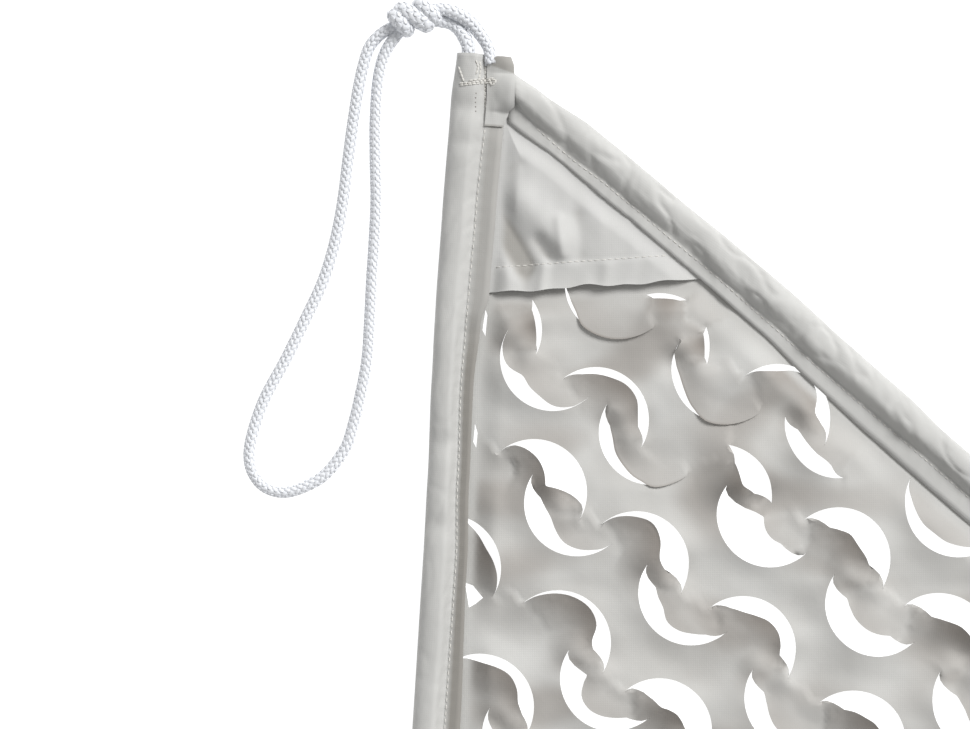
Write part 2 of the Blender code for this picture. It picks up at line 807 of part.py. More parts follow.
def build_strand(name, route, corner, material, parent, lean=0.0):
    """A rope strand along a route, as a round tube."""
    pivot = KNOT_CENTRE.xy
    path = []
    for x, y, z in route:
        away = Vector((x, y)) - pivot
        turn = Matrix.Rotation(-math.radians(lean) * smooth(away.length / LEAN_REACH), 2)
        path.append(world(corner.place(*(pivot + away @ turn)), z))
    path = smooth_route(path, STRAND_STEP * ROPE * MM)
    curve = bpy.data.curves.new(name, "CURVE")
    curve.dimensions = "3D"
    curve.bevel_depth = 0.5 * ROPE * MM
    curve.bevel_resolution = 2
    curve.render_resolution_u = 0
    curve.use_fill_caps = True
    curve.materials.append(material)
    spline = curve.splines.new("POLY")
    spline.points.add(len(path) - 1)
    for point, place in zip(spline.points, path):
        point.co = (*place, 1.0)
    strand = bpy.data.objects.new(name, curve)
    bpy.data.collections["shade_sail"].objects.link(strand)
    strand.parent = parent
    return strand


def build_knot(corner, material, parent):
    """The overhand knot: a lump with the rope's slanting wraps raised on it."""
    bm = bmesh.new()
    bmesh.ops.create_uvsphere(bm, u_segments=KNOT_SIDES, v_segments=KNOT_RINGS, radius=1.0)
    for vert in bm.verts:
        slant = vert.co.x * KNOT_SLANT[0] + vert.co.y * KNOT_SLANT[1]
        wrap = 1.0 + KNOT_WRAP * math.cos(slant * 2.0 * math.pi)
        x = KNOT_CENTRE.x + vert.co.x * KNOT_SIZE.x * wrap
        y = KNOT_CENTRE.y + vert.co.y * KNOT_SIZE.y * wrap
        z = max(0.0, KNOT_CENTRE.z + vert.co.z * KNOT_SIZE.z * wrap)
        vert.co = world(corner.place(x, y), z)
    name = "knot_" + corner.name
    return add_object(name, mesh_from(bm, name, True), material, parent)


def main():
    """Build the sail's pieces."""
    for item in list(bpy.data.objects):
        bpy.data.objects.remove(item, do_unlink=True)
    collection = bpy.data.collections.new("shade_sail")
    bpy.context.scene.collection.children.link(collection)
    sail = bpy.data.objects.new("sail_centre", None)
    collection.objects.link(sail)

    net_cloth = finish("net_cloth", (0.55, 0.54, 0.53), 0.75)
    hem_cloth = finish("hem_cloth", (0.48, 0.48, 0.46), 0.7)
    patch_cloth = finish("patch_cloth", (0.58, 0.58, 0.57), 0.7)
    rope = finish("rope_white", (0.75, 0.77, 0.80), 0.8)

    build_net(net_cloth, sail)
    for hem in HEMS:
        build_hem(hem, hem_cloth, sail)
    for corner in CORNERS:
        build_patch(corner, patch_cloth, sail)
        build_tab(corner, hem_cloth, sail)
        build_strand("strand_hem_" + corner.name, STRAND_INTO_HEM, corner, rope, sail)
        build_strand("strand_tab_" + corner.name, STRAND_INTO_TAB, corner, rope, sail)
        build_strand("loop_" + corner.name, LOOP, corner, rope, sail, corner.loop_lean)
        build_knot(corner, rope, sail)


main()
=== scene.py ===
"""Triangular shade sail of leaf-cut netting, laid flat: its cloths, sewing and corner ropes.

Tables are in millimetres from the outer end of the top corner's open hem, x to the right and y up.
"""

import logging
import math
from dataclasses import dataclass, field
from enum import Enum
from typing import Any

import bpy
import numpy as np
from mathutils import Matrix, Vector, geometry, noise
from mathutils.bvhtree import BVHTree


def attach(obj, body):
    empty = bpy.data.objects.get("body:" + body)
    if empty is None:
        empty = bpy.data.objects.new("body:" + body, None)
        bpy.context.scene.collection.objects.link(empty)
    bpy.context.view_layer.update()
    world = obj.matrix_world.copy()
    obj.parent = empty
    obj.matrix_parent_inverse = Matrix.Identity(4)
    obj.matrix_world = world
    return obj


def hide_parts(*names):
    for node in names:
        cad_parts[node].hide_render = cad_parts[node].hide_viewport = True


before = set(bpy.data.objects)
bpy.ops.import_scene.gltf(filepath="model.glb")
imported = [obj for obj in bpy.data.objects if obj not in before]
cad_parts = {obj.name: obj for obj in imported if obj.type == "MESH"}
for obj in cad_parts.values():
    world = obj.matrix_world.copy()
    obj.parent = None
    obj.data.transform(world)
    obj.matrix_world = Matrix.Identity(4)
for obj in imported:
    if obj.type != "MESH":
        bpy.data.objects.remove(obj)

LOG = logging.getLogger("shade_sail")
MM = 0.001
SHIFT = np.array([-343.25, 479.0, 0.0])
CLOTH = 1.0
FLANGE_LOW = 1.3
FLANGE_HIGH = 2.6
PATCH_ALONG_OPEN = 121.0
PATCH_ALONG_SHUT = 145.0
FLANGE_STEP = 12.0
FLANGE_STEP_OPEN = 129.0
FLANGE_STEP_SHUT = 153.0
END_LINE = 27.6
TUBE_HEIGHT = 9.0
LEAF_RADIUS = 26.5
PATCH_UNDER = 1.4
TAB_REACH = 34.0
FLOOR_GAP = 0.5
DROP_FROM = 0.1
WAVE_PERIOD = 20.0
SHARP_ANGLE = 55.0

Row = tuple[float, ...]


class Pattern(Enum):
    """What a cloth's weave follows."""

    PLACE = "Object"
    STRIP = "UV"


def soft_step(value: Any) -> Any:
    """A soft step from 0 to 1."""
    value = np.clip(value, 0.0, 1.0)
    return value * value * (3.0 - 2.0 * value)


def linear(colour: str) -> tuple[float, float, float, float]:
    """A linear colour from an sRGB hex value."""
    parts = [int(colour[place : place + 2], 16) / 255.0 for place in (1, 3, 5)]
    turned = [part / 12.92 if part <= 0.04045 else ((part + 0.055) / 1.055) ** 2.4 for part in parts]
    return (turned[0], turned[1], turned[2], 1.0)


def read_rows(rows: tuple[Row, ...], along: Any, column: int) -> Any:
    """A column of a table at distances, with a smooth change between rows.

    Args:
        rows: The table, its distances in the first column.
        along: One distance or an array of them.
        column: The column to read.

    Returns:
        The values, in the shape of along.
    """
    table = np.array(rows, float)
    spots, values = table[:, 0], table[:, column]
    index = np.clip(np.searchsorted(spots, along, side="right") - 1, 0, len(spots) - 2)
    share = soft_step((along - spots[index]) / (spots[index + 1] - spots[index]))
    return values[index] + (values[index + 1] - values[index]) * share


def ripple(points: np.ndarray, scale: tuple[float, float], seed: float) -> np.ndarray:
    """Smooth noise from about -1 to 1 at 2-D points, with a size along each axis."""
    return np.array([noise.noise(Vector((x / scale[0], y / scale[1], seed))) for x, y in points])


def to_metres(points: np.ndarray) -> np.ndarray:
    """Table points with heights, as metres in the frame."""
    return (points + SHIFT) * MM


def bend(a: Any, b: Any, c: Any, d: Any, t: Any) -> Any:
    """A smooth curve's values between b and c at shares t of its way, with a before them and d after."""
    slope, curve, twist = c - a, 2 * a - 5 * b + 4 * c - d, 3 * b - a - 3 * c + d
    return 0.5 * (2 * b + slope * t + curve * t**2 + twist * t**3)


def smooth_path(route: np.ndarray, spacing: float) -> np.ndarray:
    """Points at an even spacing on a smooth curve through a route.

    Args:
        route: The route's points.
        spacing: Distance between two points of the result.

    Returns:
        The points, ends included.
    """
    ends = np.vstack([2 * route[0] - route[1], route, 2 * route[-1] - route[-2]])
    t = np.linspace(0, 1, 24, endpoint=False)[:, None]
    fine = []
    for a, b, c, d in zip(ends, ends[1:], ends[2:], ends[3:]):
        fine.append(bend(a, b, c, d, t))
    line = np.vstack([*fine, route[-1:]])
    walked = np.concatenate([[0.0], np.cumsum(np.linalg.norm(np.diff(line, axis=0), axis=1))])
    count = max(4, round(walked[-1] / spacing))
    marks = np.linspace(0, walked[-1], count + 1)
    return np.stack([np.interp(marks, walked, line[:, axis]) for axis in range(3)], axis=1)


def grid_faces(rows: int, columns: int, first: int = 0, wrap: bool = False) -> list[tuple[int, ...]]:
    """Quads of a grid whose points are numbered row by row.

    Args:
        rows: Number of rows of points.
        columns: Number of points in a row.
        first: Number of the first point.
        wrap: Whether a row's end joins its start.

    Returns:
        The quads.
    """
    faces = []
    for row in range(rows - 1):
        for column in range(columns if wrap else columns - 1):
            other = (column + 1) % columns
            low, high = first + row * columns, first + (row + 1) * columns
            faces.append((low + column, low + other, high + other, high + column))
    return faces


def new_piece(name: str, points: np.ndarray, faces: list[tuple[int, ...]]) -> bpy.types.Object:
    """A smooth mesh object at the origin from table points and faces."""
    mesh = bpy.data.meshes.new(name)
    mesh.from_pydata(to_metres(points).tolist(), [], faces)
    mesh.shade_smooth()
    piece = bpy.data.objects.new(name, mesh)
    bpy.context.scene.collection.objects.link(piece)
    return piece


def through(knots: Row, share: Any) -> Any:
    """A smooth curve through evenly spaced values, read at shares of its way."""
    table = np.array([knots[0], *knots, knots[-1]], float)
    spot = np.clip(np.asarray(share, float), 0.0, 1.0) * (len(knots) - 1)
    index = np.minimum(spot.astype(int), len(knots) - 2)
    t = spot - index
    a, b, c, d = table[index], table[index + 1], table[index + 2], table[index + 3]
    return bend(a, b, c, d, t)


def new_cloth(name: str, under: np.ndarray, faces: np.ndarray, thickness: float) -> bpy.types.Object:
    """A closed cloth from its underside, grown straight up, with crisp edges.

    Args:
        name: The piece's name.
        under: Points of the underside.
        faces: Its faces, all with the same number of corners.
        thickness: Thickness in millimetres.

    Returns:
        The piece.
    """
    corners = under[faces][:, :, :2]
    turned = np.roll(corners, -1, axis=1)
    area = (corners[..., 0] * turned[..., 1] - corners[..., 1] * turned[..., 0]).sum(1)
    faces = np.where((area < 0.0)[:, None], faces[:, ::-1], faces)
    count = len(under)
    starts, ends = faces.ravel(), np.roll(faces, -1, axis=1).ravel()
    rim = ~np.isin(starts * count + ends, ends * count + starts)
    walls = np.stack([starts[rim], ends[rim], ends[rim] + count, starts[rim] + count], axis=1)
    closed = [*faces[:, ::-1].tolist(), *(faces + count).tolist(), *walls.tolist()]
    piece = new_piece(name, np.vstack([under, under + np.array([0.0, 0.0, thickness])]), closed)
    piece.data.set_sharp_from_angle(angle=math.radians(SHARP_ANGLE))
    return piece


def drop(points: np.ndarray, pieces: list[bpy.types.Object], lift: float) -> np.ndarray:
    """Lower points onto the highest of some pieces, a little above it."""
    graph = bpy.context.evaluated_depsgraph_get()
    trees = [BVHTree.FromObject(piece, graph) for piece in pieces]
    placed = points.copy()
    for row, point in enumerate(to_metres(points)):
        above = Vector((point[0], point[1], DROP_FROM))
        hits = [tree.ray_cast(above, Vector((0.0, 0.0, -1.0)))[0] for tree in trees]
        tops = [hit.z for hit in hits if hit is not None]
        if tops:
            placed[row, 2] = max(tops) / MM + lift
    return placed


def set_values(piece: bpy.types.Object, name: str, values: np.ndarray) -> None:
    """Store one number a point under a name that a material or a node tree reads."""
    layer = piece.data.attributes.new(name, "FLOAT", "POINT")
    layer.data.foreach_set("value", values.astype(np.float32))


def set_strip_map(piece: bpy.types.Object, places: np.ndarray) -> None:
    """Give a strip of cloth its own map, in metres along and across it."""
    layer = piece.data.uv_layers.new(name="strip")
    corners = np.array([loop.vertex_index for loop in piece.data.loops])
    layer.data.foreach_set("uv", (places[corners] * MM).astype(np.float32).ravel())


def settle(piece: bpy.types.Object) -> None:
    """Turn a piece with modifiers into a plain mesh."""
    graph = bpy.context.evaluated_depsgraph_get()
    shaped = piece.evaluated_get(graph)
    made = bpy.data.meshes.new_from_object(shaped, preserve_all_data_layers=True, depsgraph=graph)
    piece.modifiers.clear()
    old, piece.data = piece.data, made
    name = old.name
    bpy.data.meshes.remove(old)
    made.name = name


def thicken(piece: bpy.types.Object, thickness: float, offset: float) -> None:
    """Give a cloth its thickness in millimetres and make it a plain mesh."""
    wall = piece.modifiers.new("wall", "SOLIDIFY")
    wall.thickness = thickness * MM
    wall.offset = offset
    wall.use_even_offset = False
    settle(piece)


def add_node(tree: Any, kind: str, inputs: dict[Any, Any] | None = None, **settings: Any) -> Any:
    """Add a node with its settings, and set or link its inputs.

    Args:
        tree: The node tree.
        kind: The node's type.
        inputs: Input name or number to a value or to an output socket.
        settings: Attributes of the node.

    Returns:
        The node.
    """
    node = tree.nodes.new(kind)
    for name, value in settings.items():
        setattr(node, name, value)
    for name, value in (inputs or {}).items():
        if isinstance(value, bpy.types.NodeSocket):
            tree.links.new(value, node.inputs[name])
        else:
            node.inputs[name].default_value = value
    return node


def new_material(name: str) -> tuple[bpy.types.Material, Any, Any]:
    """A material with its tree and its shader."""
    material = bpy.data.materials.new(name)
    material.use_nodes = True
    tree = material.node_tree
    return material, tree, tree.nodes["Principled BSDF"]


@dataclass(frozen=True)
class CoatedCloth:
    """Polyester oxford, woven, then coated with polyurethane: matt, with a faint sheen, soft crumples and
    painted shade.
    """

    name: str
    lit: str
    darker_tone: str
    # Colour of the painted shade that a per-point attribute mixes in.
    painted_shade_colour: str
    pattern: Pattern
    thread: float = 1.1
    crumple: float = 11.0
    roughness: float = 0.66
    weave_depth: float = 0.05
    crumple_depth: float = 0.5

    def build(self) -> bpy.types.Material:
        """Make the material. The weave is drawn 1.1 mm a thread pair: at its real 0.5 mm it wouldn't show."""
        material, tree, shader = new_material(self.name)
        place = add_node(tree, "ShaderNodeTexCoord").outputs[self.pattern.value]
        waves = 2.0 * math.pi / (WAVE_PERIOD * self.thread * MM)
        bands = [
            add_node(
                tree,
                "ShaderNodeTexWave",
                {"Vector": place, "Scale": waves, "Distortion": 0.6, "Detail": 1.0},
                wave_type="BANDS",
                bands_direction=axis,
            ).outputs[1]
            for axis in ("X", "Y")
        ]
        weave = add_node(tree, "ShaderNodeMath", {0: bands[0], 1: bands[1]}, operation="MAXIMUM").outputs[0]
        rough = add_node(
            tree, "ShaderNodeTexNoise", {"Vector": place, "Scale": 1.0 / (self.crumple * MM), "Detail": 4.0}
        ).outputs[0]
        patches = add_node(
            tree, "ShaderNodeTexNoise", {"Vector": place, "Scale": 1.0 / (55.0 * MM), "Detail": 3.0}
        ).outputs[0]
        share = add_node(
            tree, "ShaderNodeMapRange", {"Value": patches, "From Min": 0.35, "From Max": 0.7}
        ).outputs[0]
        colour = add_node(
            tree,
            "ShaderNodeMix",
            {0: share, 6: linear(self.lit), 7: linear(self.darker_tone)},
            data_type="RGBA",
        ).outputs[2]
        # Painted shade: a per-point attribute mixes the cloth towards a darker, warmer colour where it lies
        # in shade.
        fold = add_node(tree, "ShaderNodeAttribute", attribute_name="fold").outputs["Fac"]
        dressed = add_node(
            tree, "ShaderNodeMix", {0: fold, 6: colour, 7: linear(self.painted_shade_colour)}, data_type="RGBA"
        ).outputs[2]
        soft = add_node(
            tree, "ShaderNodeBump", {"Height": rough, "Distance": self.crumple_depth * MM, "Strength": 0.5}
        ).outputs[0]
        bump = add_node(
            tree,
            "ShaderNodeBump",
            {"Height": weave, "Distance": self.weave_depth * MM, "Strength": 0.6, "Normal": soft},
        ).outputs[0]
        tree.links.new(dressed, shader.inputs["Base Color"])
        tree.links.new(bump, shader.inputs["Normal"])
        shader.inputs["Roughness"].default_value = self.roughness
        shader.inputs["IOR"].default_value = 1.47
        shader.inputs["Specular IOR Level"].default_value = 0.25
        shader.inputs["Sheen Weight"].default_value = 0.08
        shader.inputs["Sheen Roughness"].default_value = 0.5
        return material


@dataclass(frozen=True)
class BraidedYarn:
    """Multifilament polypropylene yarn, spun and braided: a white with a cool cast, a fine fibre grain and
    painted shade in the grain's hollows.
    """

    name: str
    lit: str
    # Colour of the painted shade in the grain's hollows.
    hollow: str
    fibre: float = 0.9
    grain_depth: float = 0.12
    roughness: float = 0.6

    def build(self) -> bpy.types.Material:
        """Make the material. Fibres are drawn 0.9 mm wide: at their real 0.05 mm they wouldn't show."""
        material, tree, shader = new_material(self.name)
        place = add_node(tree, "ShaderNodeTexCoord").outputs["Object"]
        grain = add_node(
            tree, "ShaderNodeTexNoise", {"Vector": place, "Scale": 1.0 / (self.fibre * MM), "Detail": 2.0}
        ).outputs[0]
        # Painted shade: darker where the grain is low, from the same noise that drives the bump.
        colour = add_node(
            tree, "ShaderNodeMix", {0: grain, 6: linear(self.hollow), 7: linear(self.lit)}, data_type="RGBA"
        ).outputs[2]
        bump = add_node(
            tree, "ShaderNodeBump", {"Height": grain, "Distance": self.grain_depth * MM, "Strength": 0.5}
        ).outputs[0]
        tree.links.new(colour, shader.inputs["Base Color"])
        tree.links.new(bump, shader.inputs["Normal"])
        shader.inputs["Roughness"].default_value = self.roughness
        shader.inputs["IOR"].default_value = 1.49
        shader.inputs["Sheen Weight"].default_value = 0.2
        return material


@dataclass(frozen=True)
class HemLayout:
    """Where a rope hem runs. It is open at its start, shut at its end, and its inside is on its left."""

    name: str
    start: tuple[float, float]
    end: tuple[float, float]
    rows: tuple[Row, ...]
    dents: tuple[Row, ...]
    puff: float
    seed: float
    flare: float
    from_end: bool = False

    @property
    def length(self) -> float:
        """Length from end to end."""
        return math.dist(self.start, self.end)

    @property
    def along(self) -> np.ndarray:
        """The way the hem runs."""
        return (np.array(self.end) - np.array(self.start)) / self.length

    @property
    def inward(self) -> np.ndarray:
        """The way to the sail's inside."""
        return np.array([-self.along[1], self.along[0]])

    def key(self, along: Any) -> Any:
        """The distance that the tables are read at."""
        return self.length - along if self.from_end else along

    def edge(self, along: Any) -> Any:
        """Distance across to the outer edge."""
        return -read_rows(self.rows, self.key(along), 1)

    def tube(self, along: Any) -> Any:
        """Width of the tube."""
        return read_rows(self.rows, self.key(along), 2)

    def flange(self, along: Any) -> Any:
        """Width of the flange."""
        return read_rows(self.rows, self.key(along), 3)

    def seam(self, along: Any) -> Any:
        """Distance across to the seam between tube and flange."""
        return self.edge(along) + self.tube(along)

    def inner(self, along: Any) -> Any:
        """Distance across to the flange's inner edge."""
        return self.seam(along) + self.flange(along)

    def point(self, along: Any, across: Any) -> np.ndarray:
        """Points at distances along and across."""
        along, across = np.broadcast_arrays(np.asarray(along, float), np.asarray(across, float))
        return np.array(self.start) + along[..., None] * self.along + across[..., None] * self.inward

    def place_of(self, points: np.ndarray) -> tuple[np.ndarray, np.ndarray]:
        """Distances along and across of points."""
        away = points - np.array(self.start)
        return away @ self.along, away @ self.inward

    def height(self, along: Any) -> Any:
        """Height of the tube, lower where it is crinkled."""
        height = TUBE_HEIGHT
        for place, depth, half in self.dents:
            height = height - depth * np.exp(-(((self.key(along) - place) / half) ** 2))
        return height

    def flange_bottom(self, along: Any) -> Any:
        """Underside of the flange, one cloth higher over the patches."""
        over_open = 1.0 - soft_step((along - FLANGE_STEP_OPEN) / FLANGE_STEP)
        over_shut = 1.0 - soft_step((self.length - along - FLANGE_STEP_SHUT) / FLANGE_STEP)
        return FLANGE_LOW + (FLANGE_HIGH - FLANGE_LOW) * np.maximum(over_open, over_shut)


LEFT_ROWS = (
    (0, 0.0, 14.5, 9.5),
    (24, 1.5, 17.2, 10.0),
    (80, 2.2, 16.0, 10.7),
    (120, 2.5, 15.4, 11.0),
    (134, 2.4, 15.0, 8.0),
    (164, 2.0, 14.1, 6.9),
    (214, 0.8, 14.3, 6.5),
    (254, 0.4, 15.7, 6.3),
    (339, 0.2, 15.3, 8.5),
    (600, 1.5, 15.6, 8.5),
    (930, 0.0, 14.5, 8.5),
)
BOTTOM_ROWS = (
    (0, 0.0, 14.5, 9.5),
    (60, 1.5, 16.5, 9.5),
    (420, 2.5, 16.5, 8.5),
    (790, 1.5, 16.5, 8.5),
    (843, 0.0, 14.5, 8.5),
)
RIGHT_ROWS = (
    (0, 0.5, 12.9, 8.0),
    (17, 2.2, 14.4, 7.9),
    (48, 5.8, 18.1, 5.3),
    (73, 6.6, 17.3, 6.9),
    (97, 6.9, 17.1, 6.5),
    (141, 8.1, 17.5, 7.0),
    (178, 8.6, 18.2, 7.0),
    (212, 7.7, 18.0, 8.7),
    (254, 7.5, 17.6, 10.0),
    (280, 6.0, 15.9, 10.6),
    (600, 2.5, 16.5, 9.0),
    (960, 0.0, 14.5, 9.5),
)
LEFT_DENTS = (
    (27, 1.6, 5),
    (45, 1.0, 4),
    (110, 0.8, 12),
    (195, 1.8, 6),
    (236, 1.5, 6),
    (300, 0.9, 14),
)
BOTTOM_DENTS = ((150, 1.2, 20), (430, 1.4, 24), (700, 1.1, 20))
RIGHT_DENTS = (
    (38, 1.6, 8),
    (78, 1.2, 9),
    (118, 1.8, 10),
    (150, 1.0, 7),
    (186, 2.0, 9),
    (208, 1.6, 7),
    (240, 1.4, 10),
    (282, 1.7, 12),
)
HEMS = (
    HemLayout("hem_left", (0.0, 0.0), (-61.0, -927.8), LEFT_ROWS, LEFT_DENTS, 0.5, 3.1, 2.2),
    HemLayout("hem_bottom", (-58.4, -958.0), (727.9, -655.9), BOTTOM_ROWS, BOTTOM_DENTS, 0.7, 7.7, 0.2),
    HemLayout(
        "hem_right", (753.5, -639.5), (28.5, -10.5), RIGHT_ROWS, RIGHT_DENTS, 1.25, 5.3, -0.1, from_end=True
    ),
)


@dataclass(frozen=True)
class Corner:
    """A corner of the sail: the hem that opens there and the hem that ends beside it."""

    name: str
    open_hem: HemLayout
    shut_hem: HemLayout
    loop_lean: float

    @property
    def turn(self) -> float:
        """Turn from the top corner to this one, in radians."""
        first, here = HEMS[0].along, self.open_hem.along
        return math.atan2(here[1], here[0]) - math.atan2(first[1], first[0])

    def place(self, points: np.ndarray) -> np.ndarray:
        """Carry points from beside the top corner to this one. A third column is kept."""
        cos, sin = math.cos(self.turn), math.sin(self.turn)
        moved = points[..., :2] @ np.array([[cos, sin], [-sin, cos]]) + np.array(self.open_hem.start)
        return np.concatenate([moved, points[..., 2:]], axis=-1)

    def unplace(self, points: np.ndarray) -> np.ndarray:
        """Carry points beside this corner back to the top corner."""
        cos, sin = math.cos(self.turn), math.sin(self.turn)
        return (points - np.array(self.open_hem.start)) @ np.array([[cos, -sin], [sin, cos]])


CORNERS = (
    Corner("top", HEMS[0], HEMS[2], 0.0),
    Corner("low", HEMS[1], HEMS[0], 9.0),
    Corner("far", HEMS[2], HEMS[1], -7.0),
)


def flange_clearance(points: np.ndarray) -> np.ndarray:
    """Distance of points inside the nearest flange's edge."""
    gaps = []
    for hem in HEMS:
        along, across = hem.place_of(points)
        gaps.append(across - hem.inner(along))
    return np.min(gaps, axis=0)


def patch_line(corner: Corner) -> tuple[np.ndarray, np.ndarray]:
    """The two ends of a patch's lower edge, under the flanges."""
    opened, shut = corner.open_hem, corner.shut_hem
    back = shut.length - PATCH_ALONG_SHUT
    first = opened.point(PATCH_ALONG_OPEN, opened.seam(PATCH_ALONG_OPEN) + PATCH_UNDER)
    return first, shut.point(back, shut.seam(back) + PATCH_UNDER)


def patch_clearance(points: np.ndarray) -> np.ndarray:
    """Distance of points beyond the nearest patch's lower edge."""
    gaps = []
    for corner in CORNERS:
        first, second = patch_line(corner)
        way = (second - first) / np.linalg.norm(second - first)
        gaps.append((points - first) @ np.array([way[1], -way[0]]))
    return np.min(gaps, axis=0)


def is_inside(points: np.ndarray, outline: np.ndarray) -> np.ndarray:
    """Whether points are inside a closed outline.

    Args:
        points: The points, one a row.
        outline: The outline's points in order.

    Returns:
        One flag a point.
    """
    result = np.zeros(len(points), bool)
    x, y = points[:, 0], points[:, 1]
    for first, second in zip(outline, np.roll(outline, -1, axis=0)):
        if first[1] == second[1]:
            continue
        spans = (first[1] > y) != (second[1] > y)
        cross = first[0] + (y - first[1]) / (second[1] - first[1]) * (second[0] - first[0])
        result ^= spans & (x < cross)
    return result


@dataclass
class RepeatedMarks:
    """A node tree that sets a small rounded mark, such as a stitch or a yarn's crown, on chosen points."""

    name: str
    sides: int
    rings: int
    tree: Any = None
    sockets: dict[str, str] = field(default_factory=dict)

    def build(self) -> None:
        """Make the tree. Its inputs are the mark's three sizes and its material."""
        tree = bpy.data.node_groups.new(self.name, "GeometryNodeTree")
        tree.interface.new_socket("Geometry", in_out="INPUT", socket_type="NodeSocketGeometry")
        for label in ("Length", "Width", "Height"):
            socket = tree.interface.new_socket(label, in_out="INPUT", socket_type="NodeSocketFloat")
            self.sockets[label] = socket.identifier
        socket = tree.interface.new_socket("Material", in_out="INPUT", socket_type="NodeSocketMaterial")
        self.sockets["Material"] = socket.identifier
        tree.interface.new_socket("Geometry", in_out="OUTPUT", socket_type="NodeSocketGeometry")
        given = add_node(tree, "NodeGroupInput").outputs
        ball = add_node(
            tree, "GeometryNodeMeshUVSphere", {"Segments": self.sides, "Rings": self.rings, "Radius": 0.5}
        )
        size = add_node(
            tree, "ShaderNodeCombineXYZ", {0: given["Length"], 1: given["Width"], 2: given["Height"]}
        )
        mark = add_node(
            tree, "GeometryNodeTransform", {"Geometry": ball.outputs[0], "Scale": size.outputs[0]}
        )
        round_mark = add_node(tree, "GeometryNodeSetShadeSmooth", {"Geometry": mark.outputs[0]})
        chosen = add_node(tree, "GeometryNodeInputNamedAttribute", {"Name": "mark"}, data_type="BOOLEAN")
        turned = add_node(tree, "GeometryNodeInputNamedAttribute", {"Name": "turn"}, data_type="FLOAT_VECTOR")
        spread = add_node(
            tree,
            "GeometryNodeInstanceOnPoints",
            {
                "Points": given["Geometry"],
                "Selection": chosen.outputs[0],
                "Instance": round_mark.outputs[0],
                "Rotation": turned.outputs[0],
            },
        )
        real = add_node(tree, "GeometryNodeRealizeInstances", {"Geometry": spread.outputs[0]})
        rest = add_node(
            tree,
            "GeometryNodeDeleteGeometry",
            {"Geometry": given["Geometry"], "Selection": chosen.outputs[0]},
        )
        joined = add_node(tree, "GeometryNodeJoinGeometry")
        tree.links.new(real.outputs[0], joined.inputs[0])
        tree.links.new(rest.outputs[0], joined.inputs[0])
        dressed = add_node(
            tree, "GeometryNodeSetMaterial", {"Geometry": joined.outputs[0], "Material": given["Material"]}
        )
        add_node(tree, "NodeGroupOutput", {0: dressed.outputs[0]})
        self.tree = tree

    def spread(
        self, piece: bpy.types.Object, size: tuple[float, float, float], material: bpy.types.Material
    ) -> None:
        """Set the marks on a piece and make it a plain mesh.

        Args:
            piece: An object whose mesh has the attributes mark and turn.
            size: Length, width and height of a mark, in millimetres.
            material: The finish of the marks and of the piece.
        """
        if self.tree is None:
            self.build()
        modifier = piece.modifiers.new("marks", "NODES")
        modifier.node_group = self.tree
        for label, value in zip(("Length", "Width", "Height"), size):
            modifier[self.sockets[label]] = value * MM
        modifier[self.sockets["Material"]] = material
        settle(piece)
        if not piece.data.materials:
            piece.data.materials.append(material)


def set_marks(piece: bpy.types.Object, first: int, along: np.ndarray, up: np.ndarray) -> None:
    """Mark a mesh's points from a number on, each turned to its own way and its own up."""
    count = len(piece.data.vertices)
    flags = np.zeros(count, bool)
    flags[first:] = True
    piece.data.attributes.new("mark", "BOOLEAN", "POINT").data.foreach_set("value", flags)
    turns = np.zeros((count, 3), np.float32)
    for index, (way, top) in enumerate(zip(along, up)):
        x = Vector(way).normalized()
        y = Vector(top).cross(x).normalized()
        turns[first + index] = Matrix((x, y, x.cross(y))).transposed().to_euler()
    piece.data.attributes.new("turn", "FLOAT_VECTOR", "POINT").data.foreach_set("vector", turns.ravel())


@dataclass
class SewnLine:
    """Straight lockstitch along lines on the cloth."""

    name: str
    lines: list[np.ndarray]
    marks: RepeatedMarks
    thread: bpy.types.Material
    pitch: float = 3.4
    size: tuple[float, float, float] = (2.7, 0.62, 0.5)
    on: list[bpy.types.Object] = field(default_factory=list)
    lift: float = 0.1
    reach: float = 0.3

    def build(self) -> bpy.types.Object:
        """Place one mark a stitch and make them a piece."""
        places, ways = [], []
        for line in self.lines:
            path = smooth_path(line, self.pitch)
            places.append((path[1:] + path[:-1]) * 0.5)
            ways.append(path[1:] - path[:-1])
        points, along = np.vstack(places), np.vstack(ways)
        if self.on:
            ahead = drop(points + along * self.reach, self.on, self.lift)
            back = drop(points - along * self.reach, self.on, self.lift)
            points, along = (ahead + back) * 0.5, ahead - back
        piece = new_piece(self.name, points, [])
        set_marks(piece, 0, along, np.tile([0.0, 0.0, 1.0], (len(points), 1)))
        self.marks.spread(piece, self.size, self.thread)
        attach(piece, "root")
        return piece


